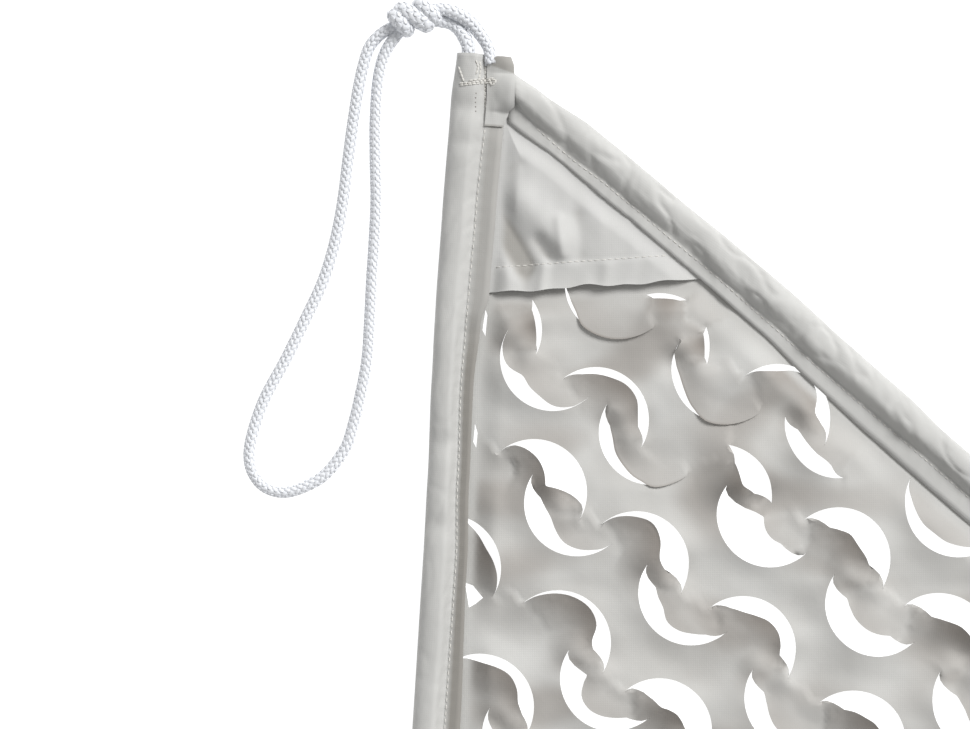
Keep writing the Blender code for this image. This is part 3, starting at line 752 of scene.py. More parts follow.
@dataclass
class CornerRope:
    """A corner's rope: out of one hem, through an overhand knot, round a loop and back to the other hem."""

    corner: Corner
    marks: RepeatedMarks
    yarn: bpy.types.Material
    core: float = 2.65
    sides: int = 14
    crown: tuple[float, float, float] = (3.9, 2.2, 0.95)
    # Turns of the knot: shift along it, half width, half height, slant and radius under the yarns.
    turns: tuple[Row, ...] = (
        (-7.2, 4.5, 3.3, 0.35, 3.6),
        (0.2, 5.6, 2.8, 0.8, 4.3),
        (7.4, 4.6, 3.2, 0.5, 3.6),
    )
    knot_crown: tuple[float, float, float] = (4.6, 2.9, 0.7)
    swell: float = 0.3
    swell_at: float = 26.0
    swell_half: float = 14.0
    columns: int = 8
    yarn_pitch: float = 3.3
    lean_reach: float = 110.0
    knot_centre: tuple[float, float, float] = (-21.5, 17.5, 7.6)
    into_hem: tuple[Row, ...] = (
        (5.2, -12.0, 4.3),
        (5.6, -5.0, 4.3),
        (5.6, 0.4, 4.3),
        (5.5, 3.8, 4.2),
        (3.6, 8.0, 3.6),
        (0.4, 12.2, 3.3),
        (-3.8, 15.0, 3.3),
        (-8.2, 16.2, 4.0),
    )
    into_tab: tuple[Row, ...] = (
        (16.9, -5.5, 5.4),
        (16.4, 0.3, 4.4),
        (15.9, 2.8, 4.3),
        (13.6, 6.8, 3.8),
        (9.8, 12.0, 4.0),
        (5.2, 16.6, 5.2),
        (-1.2, 20.0, 7.2),
        (-7.4, 21.6, 7.9),
    )
    through_first: tuple[Row, ...] = ((-15.0, 16.6, 5.6), (-22.0, 15.6, 6.6), (-28.5, 13.6, 6.2))
    through_second: tuple[Row, ...] = ((-24.5, 14.4, 7.0), (-19.0, 18.6, 8.2), (-13.2, 21.0, 8.4))
    loop: tuple[Row, ...] = (
        (-34.0, 11.8, 5.2),
        (-39.6, 8.2, 3.8),
        (-44.5, 1.5, 3.15),
        (-48.5, -13.5, 3.15),
        (-51.8, -33.5, 3.15),
        (-54.5, -53.5, 3.15),
        (-57.0, -73.5, 3.15),
        (-60.8, -93.5, 3.15),
        (-66.8, -113.5, 3.15),
        (-76.0, -133.5, 3.15),
        (-85.8, -153.5, 3.15),
        (-96.5, -173.5, 3.15),
        (-103.0, -193.5, 3.15),
        (-103.4, -206.0, 3.15),
        (-98.0, -215.5, 3.15),
        (-88.5, -219.5, 3.15),
        (-78.0, -217.5, 3.15),
        (-66.0, -210.8, 3.15),
        (-56.6, -199.0, 3.15),
        (-53.0, -190.0, 3.15),
        (-48.8, -173.5, 3.15),
        (-45.0, -153.5, 3.15),
        (-43.6, -133.5, 3.15),
        (-42.6, -113.5, 3.15),
        (-41.3, -93.5, 3.15),
        (-40.4, -73.5, 3.15),
        (-40.8, -53.5, 3.15),
        (-40.8, -33.5, 3.15),
        (-39.4, -13.5, 3.15),
        (-36.0, 0.0, 3.4),
        (-29.9, 9.1, 5.2),
    )

    def leaned(self, route: tuple[Row, ...]) -> np.ndarray:
        """The loop's route, leaned round the knot."""
        points = np.array(route)
        away = points[:, :2] - np.array(self.knot_centre[:2])
        turn = math.radians(self.corner.loop_lean) * soft_step(np.linalg.norm(away, axis=1) / self.lean_reach)
        cos, sin = np.cos(turn), np.sin(turn)
        points[:, 0] = self.knot_centre[0] + away[:, 0] * cos - away[:, 1] * sin
        points[:, 1] = self.knot_centre[1] + away[:, 0] * sin + away[:, 1] * cos
        return points

    def route(self) -> np.ndarray:
        """The whole rope's centre line, from inside the open hem to inside the end tab."""
        parts = [
            np.array(self.into_hem),
            np.array(self.through_first),
            self.leaned(self.loop),
            np.array(self.through_second),
            np.array(self.into_tab)[::-1],
        ]
        return self.corner.place(np.vstack(parts))

    def tube(self, path: np.ndarray, core: np.ndarray, closed: bool, first: int) -> tuple[Any, ...]:
        """A round tube along a path, and the crowns of the yarns braided on it.

        Args:
            path: The centre line.
            core: Radius under the yarns at each point.
            closed: Whether the path is a ring.
            first: Number of the tube's first point.

        Returns:
            Points, faces, crown places, crown ways and crown ups.
        """
        sides = self.sides
        ahead = np.roll(path, -1, axis=0) - path if closed else np.gradient(path, axis=0)
        ahead = ahead / np.linalg.norm(ahead, axis=1)[:, None]
        side = np.cross(ahead, [0.0, 0.0, 1.0])
        side = side / np.maximum(np.linalg.norm(side, axis=1), 1e-6)[:, None]
        if closed:
            flat = np.cross(path - path.mean(0), ahead)
            side = flat / np.linalg.norm(flat, axis=1)[:, None]
        up = np.cross(side, ahead)
        angles = np.linspace(0, 2 * math.pi, sides, endpoint=False)
        around = np.cos(angles)[None, :, None] * side[:, None] + np.sin(angles)[None, :, None] * up[:, None]
        points = (path[:, None] + core[:, None, None] * around).reshape(-1, 3)
        faces = grid_faces(len(path), sides, first, wrap=True)
        if closed:
            last = first + (len(path) - 1) * sides
            faces += [
                (last + n, last + (n + 1) % sides, first + (n + 1) % sides, first + n) for n in range(sides)
            ]
        else:
            faces += [tuple(first + n for n in range(sides))[::-1]]
            faces += [tuple(first + (len(path) - 1) * sides + n for n in range(sides))]
        places, ways, ups = [], [], []
        walked = np.concatenate([[0.0], np.cumsum(np.linalg.norm(np.diff(path, axis=0), axis=1))])
        columns = 2 * round(0.5 * self.columns * core.mean() / self.core)
        for column in range(columns):
            angle = 2 * math.pi * (column + 0.5) / columns
            way = 1.0 if column % 2 else -1.0
            marks = np.arange(self.yarn_pitch * (0.25 + 0.5 * (column % 2)), walked[-1], self.yarn_pitch)
            centre, run, across, top = (
                np.stack([np.interp(marks, walked, source[:, axis]) for axis in range(3)], axis=1)
                for source in (path, ahead, side, up)
            )
            out = math.cos(angle) * across + math.sin(angle) * top
            lateral = -math.sin(angle) * across + math.cos(angle) * top
            places.append(centre + out * (np.interp(marks, walked, core) - 0.1)[:, None])
            ways.append(run * 0.82 + lateral * way * 0.57)
            ups.append(out)
        return points, faces, np.vstack(places), np.vstack(ways), np.vstack(ups)

    def dress(
        self, name: str, tubes: list[tuple[np.ndarray, np.ndarray, bool]], crown: tuple[float, float, float]
    ) -> bpy.types.Object:
        """One braided piece from one or more centre lines, with the size of its yarns' crowns."""
        points, faces, places, ways, ups = [], [], [], [], []
        for path, core, closed in tubes:
            made = self.tube(path, core, closed, sum(len(part) for part in points))
            points.append(made[0])
            faces += made[1]
            places.append(made[2])
            ways.append(made[3])
            ups.append(made[4])
        first = sum(len(part) for part in points)
        piece = new_piece(name, np.vstack([*points, *places]), faces)
        set_marks(piece, first, np.vstack(ways), np.vstack(ups))
        self.marks.spread(piece, crown, self.yarn)
        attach(piece, "root")
        return piece

    def wraps(self) -> list[tuple[np.ndarray, np.ndarray, bool]]:
        """The slanting turns of the overhand knot."""
        turns = []
        axis = np.array([0.92, 0.39, 0.0])
        across = np.array([-0.39, 0.92, 0.0])
        angles = np.linspace(0, 2 * math.pi, 40, endpoint=False)
        for shift, wide, high, slant, core in self.turns:
            ring = np.array(self.knot_centre) + axis * shift
            local = (
                np.cos(angles)[:, None] * (across - axis * slant) * wide
                + np.sin(angles)[:, None] * np.array([0.0, 0.0, 1.0]) * high
            )
            turns.append((self.corner.place(ring + local), np.full(len(angles), core), True))
        return turns

    def build(self) -> bpy.types.Object:
        path = smooth_path(self.route(), 1.6)
        walked = np.concatenate([[0.0], np.cumsum(np.linalg.norm(np.diff(path, axis=0), axis=1))])
        from_end = np.minimum(walked, walked[-1] - walked)
        core = self.core * (1.0 + self.swell * np.exp(-(((from_end - self.swell_at) / self.swell_half) ** 2)))
        core = np.minimum(core, path[:, 2] - FLOOR_GAP)
        rope = self.dress("rope_" + self.corner.name, [(path, core, False)], self.crown)
        knot = self.dress("knot_turns_" + self.corner.name, self.wraps(), self.knot_crown)
        nodes = [label + self.corner.name for label in ("strand_hem_", "loop_", "strand_tab_")]
        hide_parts(*nodes)
        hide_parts("knot_" + self.corner.name)
        return rope


@dataclass
class HemStrip:
    """A strip of cloth folded over a rope into a tube and sewn down as a flat flange."""

    layout: HemLayout
    cloth: bpy.types.Material
    fine_reach: float = 352.0
    fine_step: float = 1.7
    coarse_step: float = 6.0
    layer: float = 0.45
    pucker_depth: float = 0.22
    pucker_pitch: float = 6.8
    pucker_half: float = 2.6

    # Each row: shares of tube width and flange width and a plain offset across, then shares of tube
    # height, flange underside and flange top.
    shape: tuple[Row, ...] = (
        (1.0, 1.0, 0.0, 0.0, 1.0, 0.0),
        (1.0, 0.0, 0.8, 0.0, 1.0, 0.0),
        (1.0, 0.0, -0.5, 0.0, 0.6, 0.0),
        (1.0, 0.0, -2.2, 0.0, 0.0, 0.0),
        (0.55, 0.0, 0.0, 0.0, 0.0, 0.0),
        (0.18, 0.0, 0.0, 0.0, 0.0, 0.0),
        (0.06, 0.0, 0.0, 0.10, 0.0, 0.0),
        (0.0, 0.0, 0.0, 0.34, 0.0, 0.0),
        (0.06, 0.0, 0.0, 0.64, 0.0, 0.0),
        (0.24, 0.0, 0.0, 0.90, 0.0, 0.0),
        (0.50, 0.0, 0.0, 1.0, 0.0, 0.0),
        (0.72, 0.0, 0.0, 0.92, 0.0, 0.0),
        (1.0, 0.0, -2.0, 0.42, 0.0, 0.58),
        (1.0, 0.0, -0.2, 0.0, 0.0, 1.0),
        (1.0, 0.0, 0.8, 0.0, 0.0, 1.0),
        (1.0, 1.0, 0.0, 0.0, 0.0, 1.0),
    )

    def profile(self) -> np.ndarray:
        """The section's rows, rounded between the flange's two layers."""
        rows = np.array(self.shape)
        ends = np.vstack([2 * rows[1] - rows[2], rows[1:-1], 2 * rows[-2] - rows[-3]])
        fine = [rows[:1], (rows[:1] * 2 + rows[1:2]) / 3, (rows[:1] + rows[1:2] * 2) / 3]
        t = np.linspace(0, 1, 4, endpoint=False)[:, None]
        for a, b, c, d in zip(ends, ends[1:], ends[2:], ends[3:]):
            fine.append(bend(a, b, c, d, t))
        fine += [rows[-2:-1], (rows[-2:-1] * 2 + rows[-1:]) / 3, (rows[-2:-1] + rows[-1:] * 2) / 3, rows[-1:]]
        made = np.vstack(fine)
        made[:, 4] = np.clip(made[:, 4], 0.0, 1.0)
        made[:, 5] = np.clip(made[:, 5], 0.0, 1.0)
        return made

    def section(self, along: np.ndarray, profile: np.ndarray) -> tuple[np.ndarray, np.ndarray]:
        """Distances across and heights of the profile at distances along."""
        hem = self.layout
        width, flange = hem.tube(along), hem.flange(along)
        across = hem.edge(along) + profile[:, 0] * width + profile[:, 1] * flange + profile[:, 2]
        low = hem.flange_bottom(along)
        height = np.maximum(profile[:, 3], 0.0) * hem.height(along)
        return across, height + profile[:, 4] * low + profile[:, 5] * (low + CLOTH)

    def stations(self) -> np.ndarray:
        """Shares of the length that have a section."""
        length = self.layout.length
        places = [0.0]
        while places[-1] < length - self.coarse_step:
            near = abs(self.layout.key(places[-1]))
            fine = self.layout.name != "hem_bottom" and near < self.fine_reach
            places.append(places[-1] + (self.fine_step if fine else self.coarse_step))
        return np.array([*places, length]) / length

    def crinkle(self, along: np.ndarray, around: np.ndarray, raised: np.ndarray) -> np.ndarray:
        """How far the cloth stands in or out: sharp creases, finer creases and soft puffs."""
        hem = self.layout
        flat = np.stack([along.ravel(), around.ravel()], axis=1)
        skewed = flat + np.stack([flat[:, 1] * 0.7, flat[:, 1] * 0.0], axis=1)
        creases = 1.0 - np.abs(ripple(skewed, (17.0, 15.0), hem.seed)) / 0.22
        fine = 1.0 - np.abs(ripple(skewed, (7.0, 9.0), hem.seed + 4.0)) / 0.2
        puffs = ripple(flat, (26.0, 11.0), hem.seed + 9.0)
        push = -0.65 * np.clip(creases, 0, 1) ** 1.5 - 0.25 * np.clip(fine, 0, 1) ** 1.5 + 1.1 * puffs
        return (push.reshape(along.shape) * hem.puff) * raised

    def build(self) -> bpy.types.Object:
        hem = self.layout
        meets = HEMS[(HEMS.index(hem) + 1) % len(HEMS)]
        profile = self.profile()
        shares = self.stations()[:, None]
        across, _ = self.section(shares * hem.length * np.ones(len(profile)), profile)
        line = hem.point(0.0, across) - np.array(meets.start)
        end_along = (END_LINE - line @ meets.inward) / (hem.along @ meets.inward)
        along = shares * end_along
        across, height = self.section(along, profile)
        steps = np.hypot(np.diff(across, axis=1), np.diff(height, axis=1))
        around = np.concatenate([np.zeros((len(across), 1)), np.cumsum(steps, axis=1)], axis=1)
        slope_across, slope_up = np.gradient(across, axis=1), np.gradient(height, axis=1)
        size = np.maximum(np.hypot(slope_across, slope_up), 1e-6)
        out_across, out_up = -slope_up / size, slope_across / size
        top = np.clip((np.arange(len(profile)) - len(profile) * 0.42) / 6.0, 0, 1)
        raised = soft_step((height - 2.4) / 3.0) * top
        push = self.crinkle(along, around, raised)
        beside = np.exp(-(((across - hem.seam(along)) / self.pucker_half) ** 2))
        pucker = self.pucker_depth * np.cos(2 * math.pi * along / self.pucker_pitch) * beside * top
        height = np.maximum(height + out_up * push + pucker, 0.0)
        across = across + out_across * push
        lip = ripple(np.stack([along[:, -1], along[:, -1] * 0], axis=1), (19.0, 1.0), hem.seed + 2.0)
        flare = hem.flare * soft_step((along - TAB_REACH) / FLANGE_STEP)
        edge = np.clip((across - hem.seam(along)) / np.maximum(hem.flange(along), 1.0), 0, 1)
        height = height + edge * (flare + 0.35 * lip[:, None] * edge)
        flat = hem.point(along, across)
        points = np.concatenate([flat, height[..., None]], axis=2).reshape(-1, 3)
        piece = new_piece(hem.name + "_strip", points, grid_faces(len(shares), len(profile)))
        set_strip_map(piece, np.stack([along.ravel(), around.ravel()], axis=1))
        # Painted shade on the flange of a hem whose flange is tilted: its upper layer beyond the seam,
        # stronger from 118 mm along.
        darker_tone = (0.5 + 0.5 * soft_step((along - 118.0) / 40.0)) * soft_step(hem.flare - 1.0)
        darker_tone = darker_tone * soft_step((across - hem.seam(along) - 0.8) / 1.2) * top
        set_values(piece, "fold", darker_tone.ravel())
        piece.data.materials.append(self.cloth)
        if piece.data.polygons[len(profile) * 3 + len(profile) * 2 // 3].normal.z < 0.0:
            piece.data.flip_normals()
        thicken(piece, self.layer, -1.0)
        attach(piece, "root")
        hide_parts(hem.name)
        return piece

    def stitch_lines(self) -> list[np.ndarray]:
        """The line of stitches beside the seam."""
        hem = self.layout
        along = np.arange(6.0, hem.length - 22.0, 4.0)
        line = hem.point(along, hem.seam(along) + 0.9)
        return [np.concatenate([line, np.full((len(line), 1), TUBE_HEIGHT)], axis=1)]


@dataclass(frozen=True)
class Slit:
    """One curved cut of the net and how wide it gapes along its arc, at seven even places."""

    upper: bool
    row: int
    column: int
    x: float
    y: float
    gape: Row
    laps: bool = False
    span: tuple[float, float] = (0.0, 1.0)
    least: float = 0.45

    @property
    def centre(self) -> np.ndarray:
        """The arc's centre."""
        return np.array([self.x, self.y])

    @property
    def start(self) -> float:
        """Where the arc starts, in degrees."""
        return 132.0 if self.upper else 146.0

    @property
    def turn(self) -> float:
        """How far the arc turns, in degrees."""
        return -166.0 if self.upper else 168.0

    def width_at(self, share: Any) -> Any:
        """Width of the gape at shares of the arc."""
        return through((0.0, *self.gape, 0.0), share)

    def arc(self, share: Any, inside: Any = 0.0) -> np.ndarray:
        """Points of the arc at shares, drawn in by a distance."""
        angle = np.radians(self.start + self.turn * np.asarray(share))
        way = np.stack([np.cos(angle), np.sin(angle)], axis=-1)
        return self.centre + way * (LEAF_RADIUS - np.asarray(inside))[..., None]


SLITS = (
    Slit(True, -1, 1, 16.0, -138.5, (0.4, 0.4, 0.4, 0.8, 2.6, 3.2, 2.2), span=(0.58, 0.97), least=0.2),
    Slit(True, 0, 2, 101.5, -146.5, (1.6, 2.6, 2.0, 0.4, 0.4, 0.4, 0.4), span=(0.16, 0.44), least=0.2),
    Slit(True, 0, 2, 100.0, -146.5, (0.4, 0.4, 0.4, 0.8, 2.0, 2.8, 2.2), span=(0.66, 0.93), least=0.2),
    Slit(True, 0, 1, 69.5, -183.5, (2.2, 3.5, 4.0, 3.4, 3.8, 5.5, 4.8)),
    Slit(True, 1, 2, 160.5, -182.0, (2.0, 3.5, 2.0, 1.5, 4.0, 8.0, 4.0)),
    Slit(True, 0, 0, 38.5, -219.5, (1.5, 7.5, 13.8, 18.2, 19.5, 14.0, 3.0)),
    Slit(True, 1, 1, 131.0, -222.0, (0.3, 0.6, 7.0, 12.0, 13.6, 9.5, 3.0), span=(0.3, 0.84), least=0.2),
    Slit(True, 0, -1, -4.5, -257.5, (0.3, 0.6, 2.0, 4.0, 5.0, 3.4, 1.2)),
    Slit(True, 1, 0, 89.5, -255.5, (0.8, 2.5, 4.2, 9.0, 13.8, 14.6, 11.0)),
    Slit(True, 2, 1, 190.5, -253.5, (8.0, 11.0, 12.2, 14.2, 14.5, 13.0, 9.8)),
    Slit(True, 1, -1, 50.5, -295.0, (0.6, 1.2, 1.8, 2.6, 5.0, 9.4, 8.0)),
    Slit(True, 2, 0, 143.0, -298.0, (4.0, 7.6, 8.4, 7.6, 7.4, 8.0, 7.6)),
    Slit(True, 3, 1, 241.0, -296.5, (9.5, 12.5, 13.2, 12.5, 11.5, 9.5, 6.0)),
    Slit(True, 1, -2, 12.0, -327.0, (1.2, 4.0, 4.6, 4.6, 6.2, 7.8, 5.0)),
    Slit(True, 2, -1, 101.0, -339.0, (6.0, 13.0, 14.0, 14.0, 14.2, 13.5, 9.0)),
    Slit(True, 3, 0, 198.0, -345.0, (7.2, 10.0, 11.8, 12.0, 12.0, 10.5, 7.0)),
    Slit(False, -1, 2, 80.5, -115.5, (0.6, 1.4, 1.6, 0.4, 0.3, 0.3, 0.3), laps=True),
    Slit(False, -1, 1, 48.0, -152.5, (0.6, 3.2, 8.8, 8.0, 6.2, 2.4, 0.4)),
    Slit(False, 0, 2, 133.8, -158.2, (1.4, 3.8, 3.6, 1.6, 0.4, 0.3, 0.3), laps=True),
    Slit(False, 0, 1, 97.5, -189.5, (4.6, 6.6, 5.6, 4.4, 2.0, 0.4, 0.3), laps=True),
    Slit(False, 1, 2, 190.5, -186.0, (1.5, 6.5, 8.2, 8.5, 7.6, 3.0, 0.4), span=(0.13, 0.78)),
    Slit(False, 0, 0, 60.0, -225.0, (7.0, 10.5, 11.5, 9.5, 6.0, 3.6, 1.6)),
    Slit(False, 1, 1, 156.5, -230.5, (17.0, 22.0, 22.4, 21.0, 18.4, 14.5, 9.8)),
    Slit(False, 1, 0, 117.0, -269.5, (7.6, 9.8, 10.4, 7.6, 6.6, 6.0, 3.8)),
    Slit(False, 2, 1, 210.5, -275.0, (9.8, 12.2, 12.6, 12.6, 12.0, 11.0, 8.6)),
    Slit(False, 1, -1, 78.0, -312.5, (12.4, 11.6, 8.4, 7.2, 7.2, 7.0, 5.4)),
    Slit(False, 2, 0, 170.0, -322.0, (8.8, 10.8, 10.2, 8.4, 6.6, 4.4, 2.2)),
    Slit(False, 2, 2, 250.5, -225.5, (2.5, 5.0, 6.4, 7.6, 6.8, 5.6, 3.0)),
    Slit(False, 3, 1, 264.0, -323.5, (11.0, 14.4, 15.0, 13.5, 11.0, 8.0, 4.5)),
    Slit(False, 1, -2, 39.0, -341.0, (4.0, 7.0, 8.5, 8.5, 7.6, 5.6, 3.0)),
)
SHUT_SLITS = ((True, 2, 2, 215.0, -225.0), (False, 0, -1, 21.5, -268.5))
# Small cuts that show beside the left flange, by their corners.
SLIVERS = (
    ((14.3, -128.3), (15.2, -131.0), (14.2, -141.5), (12.8, -138.5)),
    ((9.0, -185.5), (10.3, -190.0), (9.6, -197.5), (8.2, -194.5)),
    ((4.0, -265.0), (8.0, -266.5), (13.0, -272.5), (9.5, -275.5), (6.0, -277.5)),
)
LEAF_STEP_ROW = np.array([55.0, -47.0])
LEAF_STEP_COLUMN = np.array([47.5, 44.0])
LEAF_ORIGIN = np.array([34.5, -208.5])
LEAF_PAIR = np.array([24.0, -15.0])


@dataclass
class Cut:
    """An opening in the net. A slit's opening also has its tongue's edge and the span of its arc."""

    chain: np.ndarray
    slit: Slit | None = None
    inner: np.ndarray | None = None
    low: float = 0.0
    high: float = 1.0

    @property
    def centre(self) -> np.ndarray:
        """The middle that distances are measured from."""
        return self.slit.centre if self.slit else self.chain.mean(0)

    def rings(self, behind: tuple[float, ...]) -> np.ndarray:
        """Points at distances behind the tongue's edge."""
        if self.slit is None:
            return np.zeros((0, 2))
        shares = self.low + (self.high - self.low) * np.linspace(0.06, 0.94, 32)
        width = self.slit.width_at(shares)
        return np.vstack([self.slit.arc(shares, width + away) for away in behind])


@dataclass
class NetSheet:
    """The net: one cloth cut with paired curved slits, whose tongues stand up where it is drawn open."""

    cloth: bpy.types.Material
    near_step: float = 2.1
    far_step: float = 4.6
    near_box: tuple[float, float, float, float] = (-70.0, -352.0, 266.0, -96.0)
    strip: float = 3.5
    thickness: float = 0.7
    upper_reach: float = 23.0
    lower_reach: float = 19.0
    upper_shade: float = 0.78
    lower_shade: float = 0.38
    lap_lift: float = 0.6

    def outline(self) -> np.ndarray:
        """The cloth's edge, under the flanges."""
        outline = []
        for hem in HEMS:
            along = np.arange(4.0, hem.length, 6.0)
            points = hem.point(along, hem.seam(along) + 0.8)
            clear = np.ones(len(points), bool)
            for other in HEMS:
                if other is not hem:
                    there, across = other.place_of(points)
                    clear &= across - other.seam(there) > 1.8
            outline.append(points[clear])
        return np.vstack(outline)

    def even_place(self, upper: bool, row: int, column: int) -> np.ndarray:
        """Centre of a slit in the even repeat."""
        place = LEAF_ORIGIN + LEAF_STEP_ROW * row + LEAF_STEP_COLUMN * column
        return place if upper else place + LEAF_PAIR

    def deviation(self, row: int, column: int) -> np.ndarray:
        """How far a slit outside the table lies off its even place, drawn along by its neighbours."""
        total, weights, nearest = np.zeros(2), 0.0, math.inf
        known = [(slit.upper, slit.row, slit.column, slit.x, slit.y) for slit in SLITS]
        for upper, known_row, known_column, x, y in [*known, *SHUT_SLITS]:
            distance = math.hypot(row - known_row, column - known_column)
            nearest = min(nearest, distance)
            weight = 1.0 / (0.2 + distance**4)
            total += (np.array([x, y]) - self.even_place(upper, known_row, known_column)) * weight
            weights += weight
        return total / weights * math.exp(-max(0.0, nearest - 1.0) / 2.5)

    def slits(self) -> list[Slit]:
        """Every slit: those of the table, then the even repeat round them."""
        slits = list(SLITS)
        known = {(slit.upper, slit.row, slit.column) for slit in SLITS}
        known |= {(upper, row, column) for upper, row, column, _, _ in SHUT_SLITS}
        for row in range(-14, 22):
            for column in range(-14, 22):
                for upper in (True, False):
                    if (upper, row, column) in known:
                        continue
                    x, y = self.even_place(upper, row, column) + self.deviation(row, column)
                    start = 132.0 if upper else 146.0
                    opening = 10.5 + 4.0 * math.sin(2.4 * row + 1.7 * column + start)
                    lean = 0.25 * math.sin(1.9 * row - 2.3 * column + start)
                    gape = tuple(
                        opening * math.sin(math.pi * n / 8) ** 0.8 * (1.0 + lean * math.cos(math.pi * n / 8))
                        for n in range(1, 8)
                    )
                    slits.append(Slit(upper, row, column, x, y, gape))
        return slits

    def opened(self, slit: Slit, outline: np.ndarray) -> Cut | None:
        """The part of a slit that is inside the cloth.

        Args:
            slit: The slit.
            outline: The cloth's edge.

        Returns:
            The opening, or None where too little of the slit is inside.
        """
        shares = np.linspace(0, 1, 49)
        arc = slit.arc(shares)
        fits = is_inside(arc, outline) & (patch_clearance(arc) > (-8.0 if slit.laps else 3.0))
        fits &= (shares >= slit.span[0]) & (shares <= slit.span[1])
        runs = np.flatnonzero(np.diff(np.concatenate([[False], fits, [False]]).astype(int)))
        if len(runs) == 0:
            return None
        best = max(range(0, len(runs), 2), key=lambda n: runs[n + 1] - runs[n])
        first, last = runs[best], runs[best + 1] - 1
        if last - first < slit.least * 48:
            return None
        low, high = shares[first], shares[last]
        near = self.near_box[0] < slit.x < self.near_box[2] + 30 and slit.y > self.near_box[1] - 30
        count = 34 if near else 18
        shares = low + (high - low) * np.linspace(0, 1, count)
        taper = np.minimum(1.0, np.sin(np.pi * np.linspace(0, 1, count)) * 2.2)
        width = np.maximum(slit.width_at(shares), 0.35) * taper
        outer = slit.arc(shares)
        inner = slit.arc(shares[1:-1], width[1:-1])
        if not (is_inside(inner, outline) & (patch_clearance(inner) > -9.0)).all():
            return None
        return Cut(np.vstack([outer, inner[::-1]]), slit, inner, low, high)

    def clear_of(
        self, points: np.ndarray, cuts: list[Cut], edges: list[np.ndarray], gap: float
    ) -> np.ndarray:
        """Points that are outside every opening and no nearer to its edge than a gap."""
        keep = np.ones(len(points), bool)
        for hole, edge in zip(cuts, edges):
            close = np.flatnonzero(np.hypot(*(points - hole.centre).T) < LEAF_RADIUS + 4.0)
            if len(close) == 0:
                continue
            here = points[close]
            away = np.hypot(here[:, 0][:, None] - edge[:, 0], here[:, 1][:, None] - edge[:, 1]).min(1)
            keep[close] &= (away > gap) & ~is_inside(here, hole.chain)
        return points[keep]

    def fill(self, outline: np.ndarray, cuts: list[Cut]) -> np.ndarray:
        """Points inside the cloth: close together in the corner that is seen near, wider elsewhere."""
        low, high = outline.min(0), outline.max(0)
        box = self.near_box
        near_cuts = [
            hole
            for hole in cuts
            if hole.slit and box[0] < hole.centre[0] < box[2] and hole.centre[1] > box[1]
        ]
        rings = np.vstack([hole.rings((1.1, 2.5)) for hole in near_cuts])
        rings = self.clear_of(rings, cuts, [hole.chain for hole in cuts], 0.8)
        rings = rings[is_inside(rings, outline)]
        edges = [
            np.vstack([hole.chain, rings[np.hypot(*(rings - hole.centre).T) < LEAF_RADIUS + 4.0]])
            for hole in cuts
        ]
        found = [rings]
        for step, is_near in ((self.near_step, True), (self.far_step, False)):
            x, y = np.meshgrid(np.arange(low[0], high[0], step), np.arange(low[1], high[1], step * 0.866))
            x = x + (np.arange(len(x)) % 2)[:, None] * step * 0.5
            points = np.stack([x.ravel(), y.ravel()], axis=1)
            near = ((points > np.array(box[:2])) & (points < np.array(box[2:]))).all(1)
            points = points[near == is_near]
            points = self.clear_of(points[is_inside(points, outline)], cuts, edges, 0.55 * step)
            gap = np.full(len(points), np.inf)
            for part in np.array_split(outline, 12):
                away = np.hypot(points[:, 0][:, None] - part[:, 0], points[:, 1][:, None] - part[:, 1]).min(1)
                gap = np.minimum(gap, away)
            found.append(points[gap > 0.6 * step])
        return np.vstack(found)

    def shape(self, points: np.ndarray, cuts: list[Cut]) -> tuple[np.ndarray, np.ndarray]:
        """Raise the tongues, twist the necks, lay the cloth in soft waves and paint shade on it.

        Args:
            points: The flat net's points.
            cuts: The openings.

        Returns:
            The points with their heights, and how much painted shade each gets, from 0 to 1.
        """
        clear = np.minimum(flange_clearance(points), patch_clearance(points))
        free = clear - 2.0
        fade = soft_step(free / 13.0)
        height = 3.6 + 2.8 * ripple(points, (70.0, 55.0), 0.0) + 3.8 * ripple(points, (50.0, 24.0), 4.0)
        height += 0.45 * ripple(points, (16.0, 11.0), 8.0)
        moved = points.copy()
        # Painted shade in broad soft blotches over the net.
        fold = 0.5 * soft_step(ripple(points, (55.0, 26.0), 12.0) * 1.8 + 0.1)
        raised = np.zeros(len(points))
        for hole in cuts:
            if hole.slit is not None:
                self.raise_tongue(hole, points, moved, raised, fold)
        for middle, run in self.necks(cuts):
            away = points - middle
            near = np.flatnonzero(np.hypot(*away.T) < 26.0)
            u = away[near] @ run
            v = away[near] @ np.array([-run[1], run[0]])
            raised[near] -= 0.15 * u * v * np.exp(-(u**2 + v**2) / 9.0**2)
            # Painted shade over the twisted neck.
            shade = 0.42 * np.exp(-(((u + 6.0) / 11.0) ** 2 + (v / 7.0) ** 2))
            fold[near] = np.maximum(fold[near], shade)
        total = np.maximum(fade * (height + raised), 0.0)
        total += 0.55 * np.clip((clear + 3.0) / 4.0, 0.0, 1.0) * (1.0 - fade)
        return np.concatenate([moved, total[:, None]], axis=1), fold * soft_step(free / 5.0)

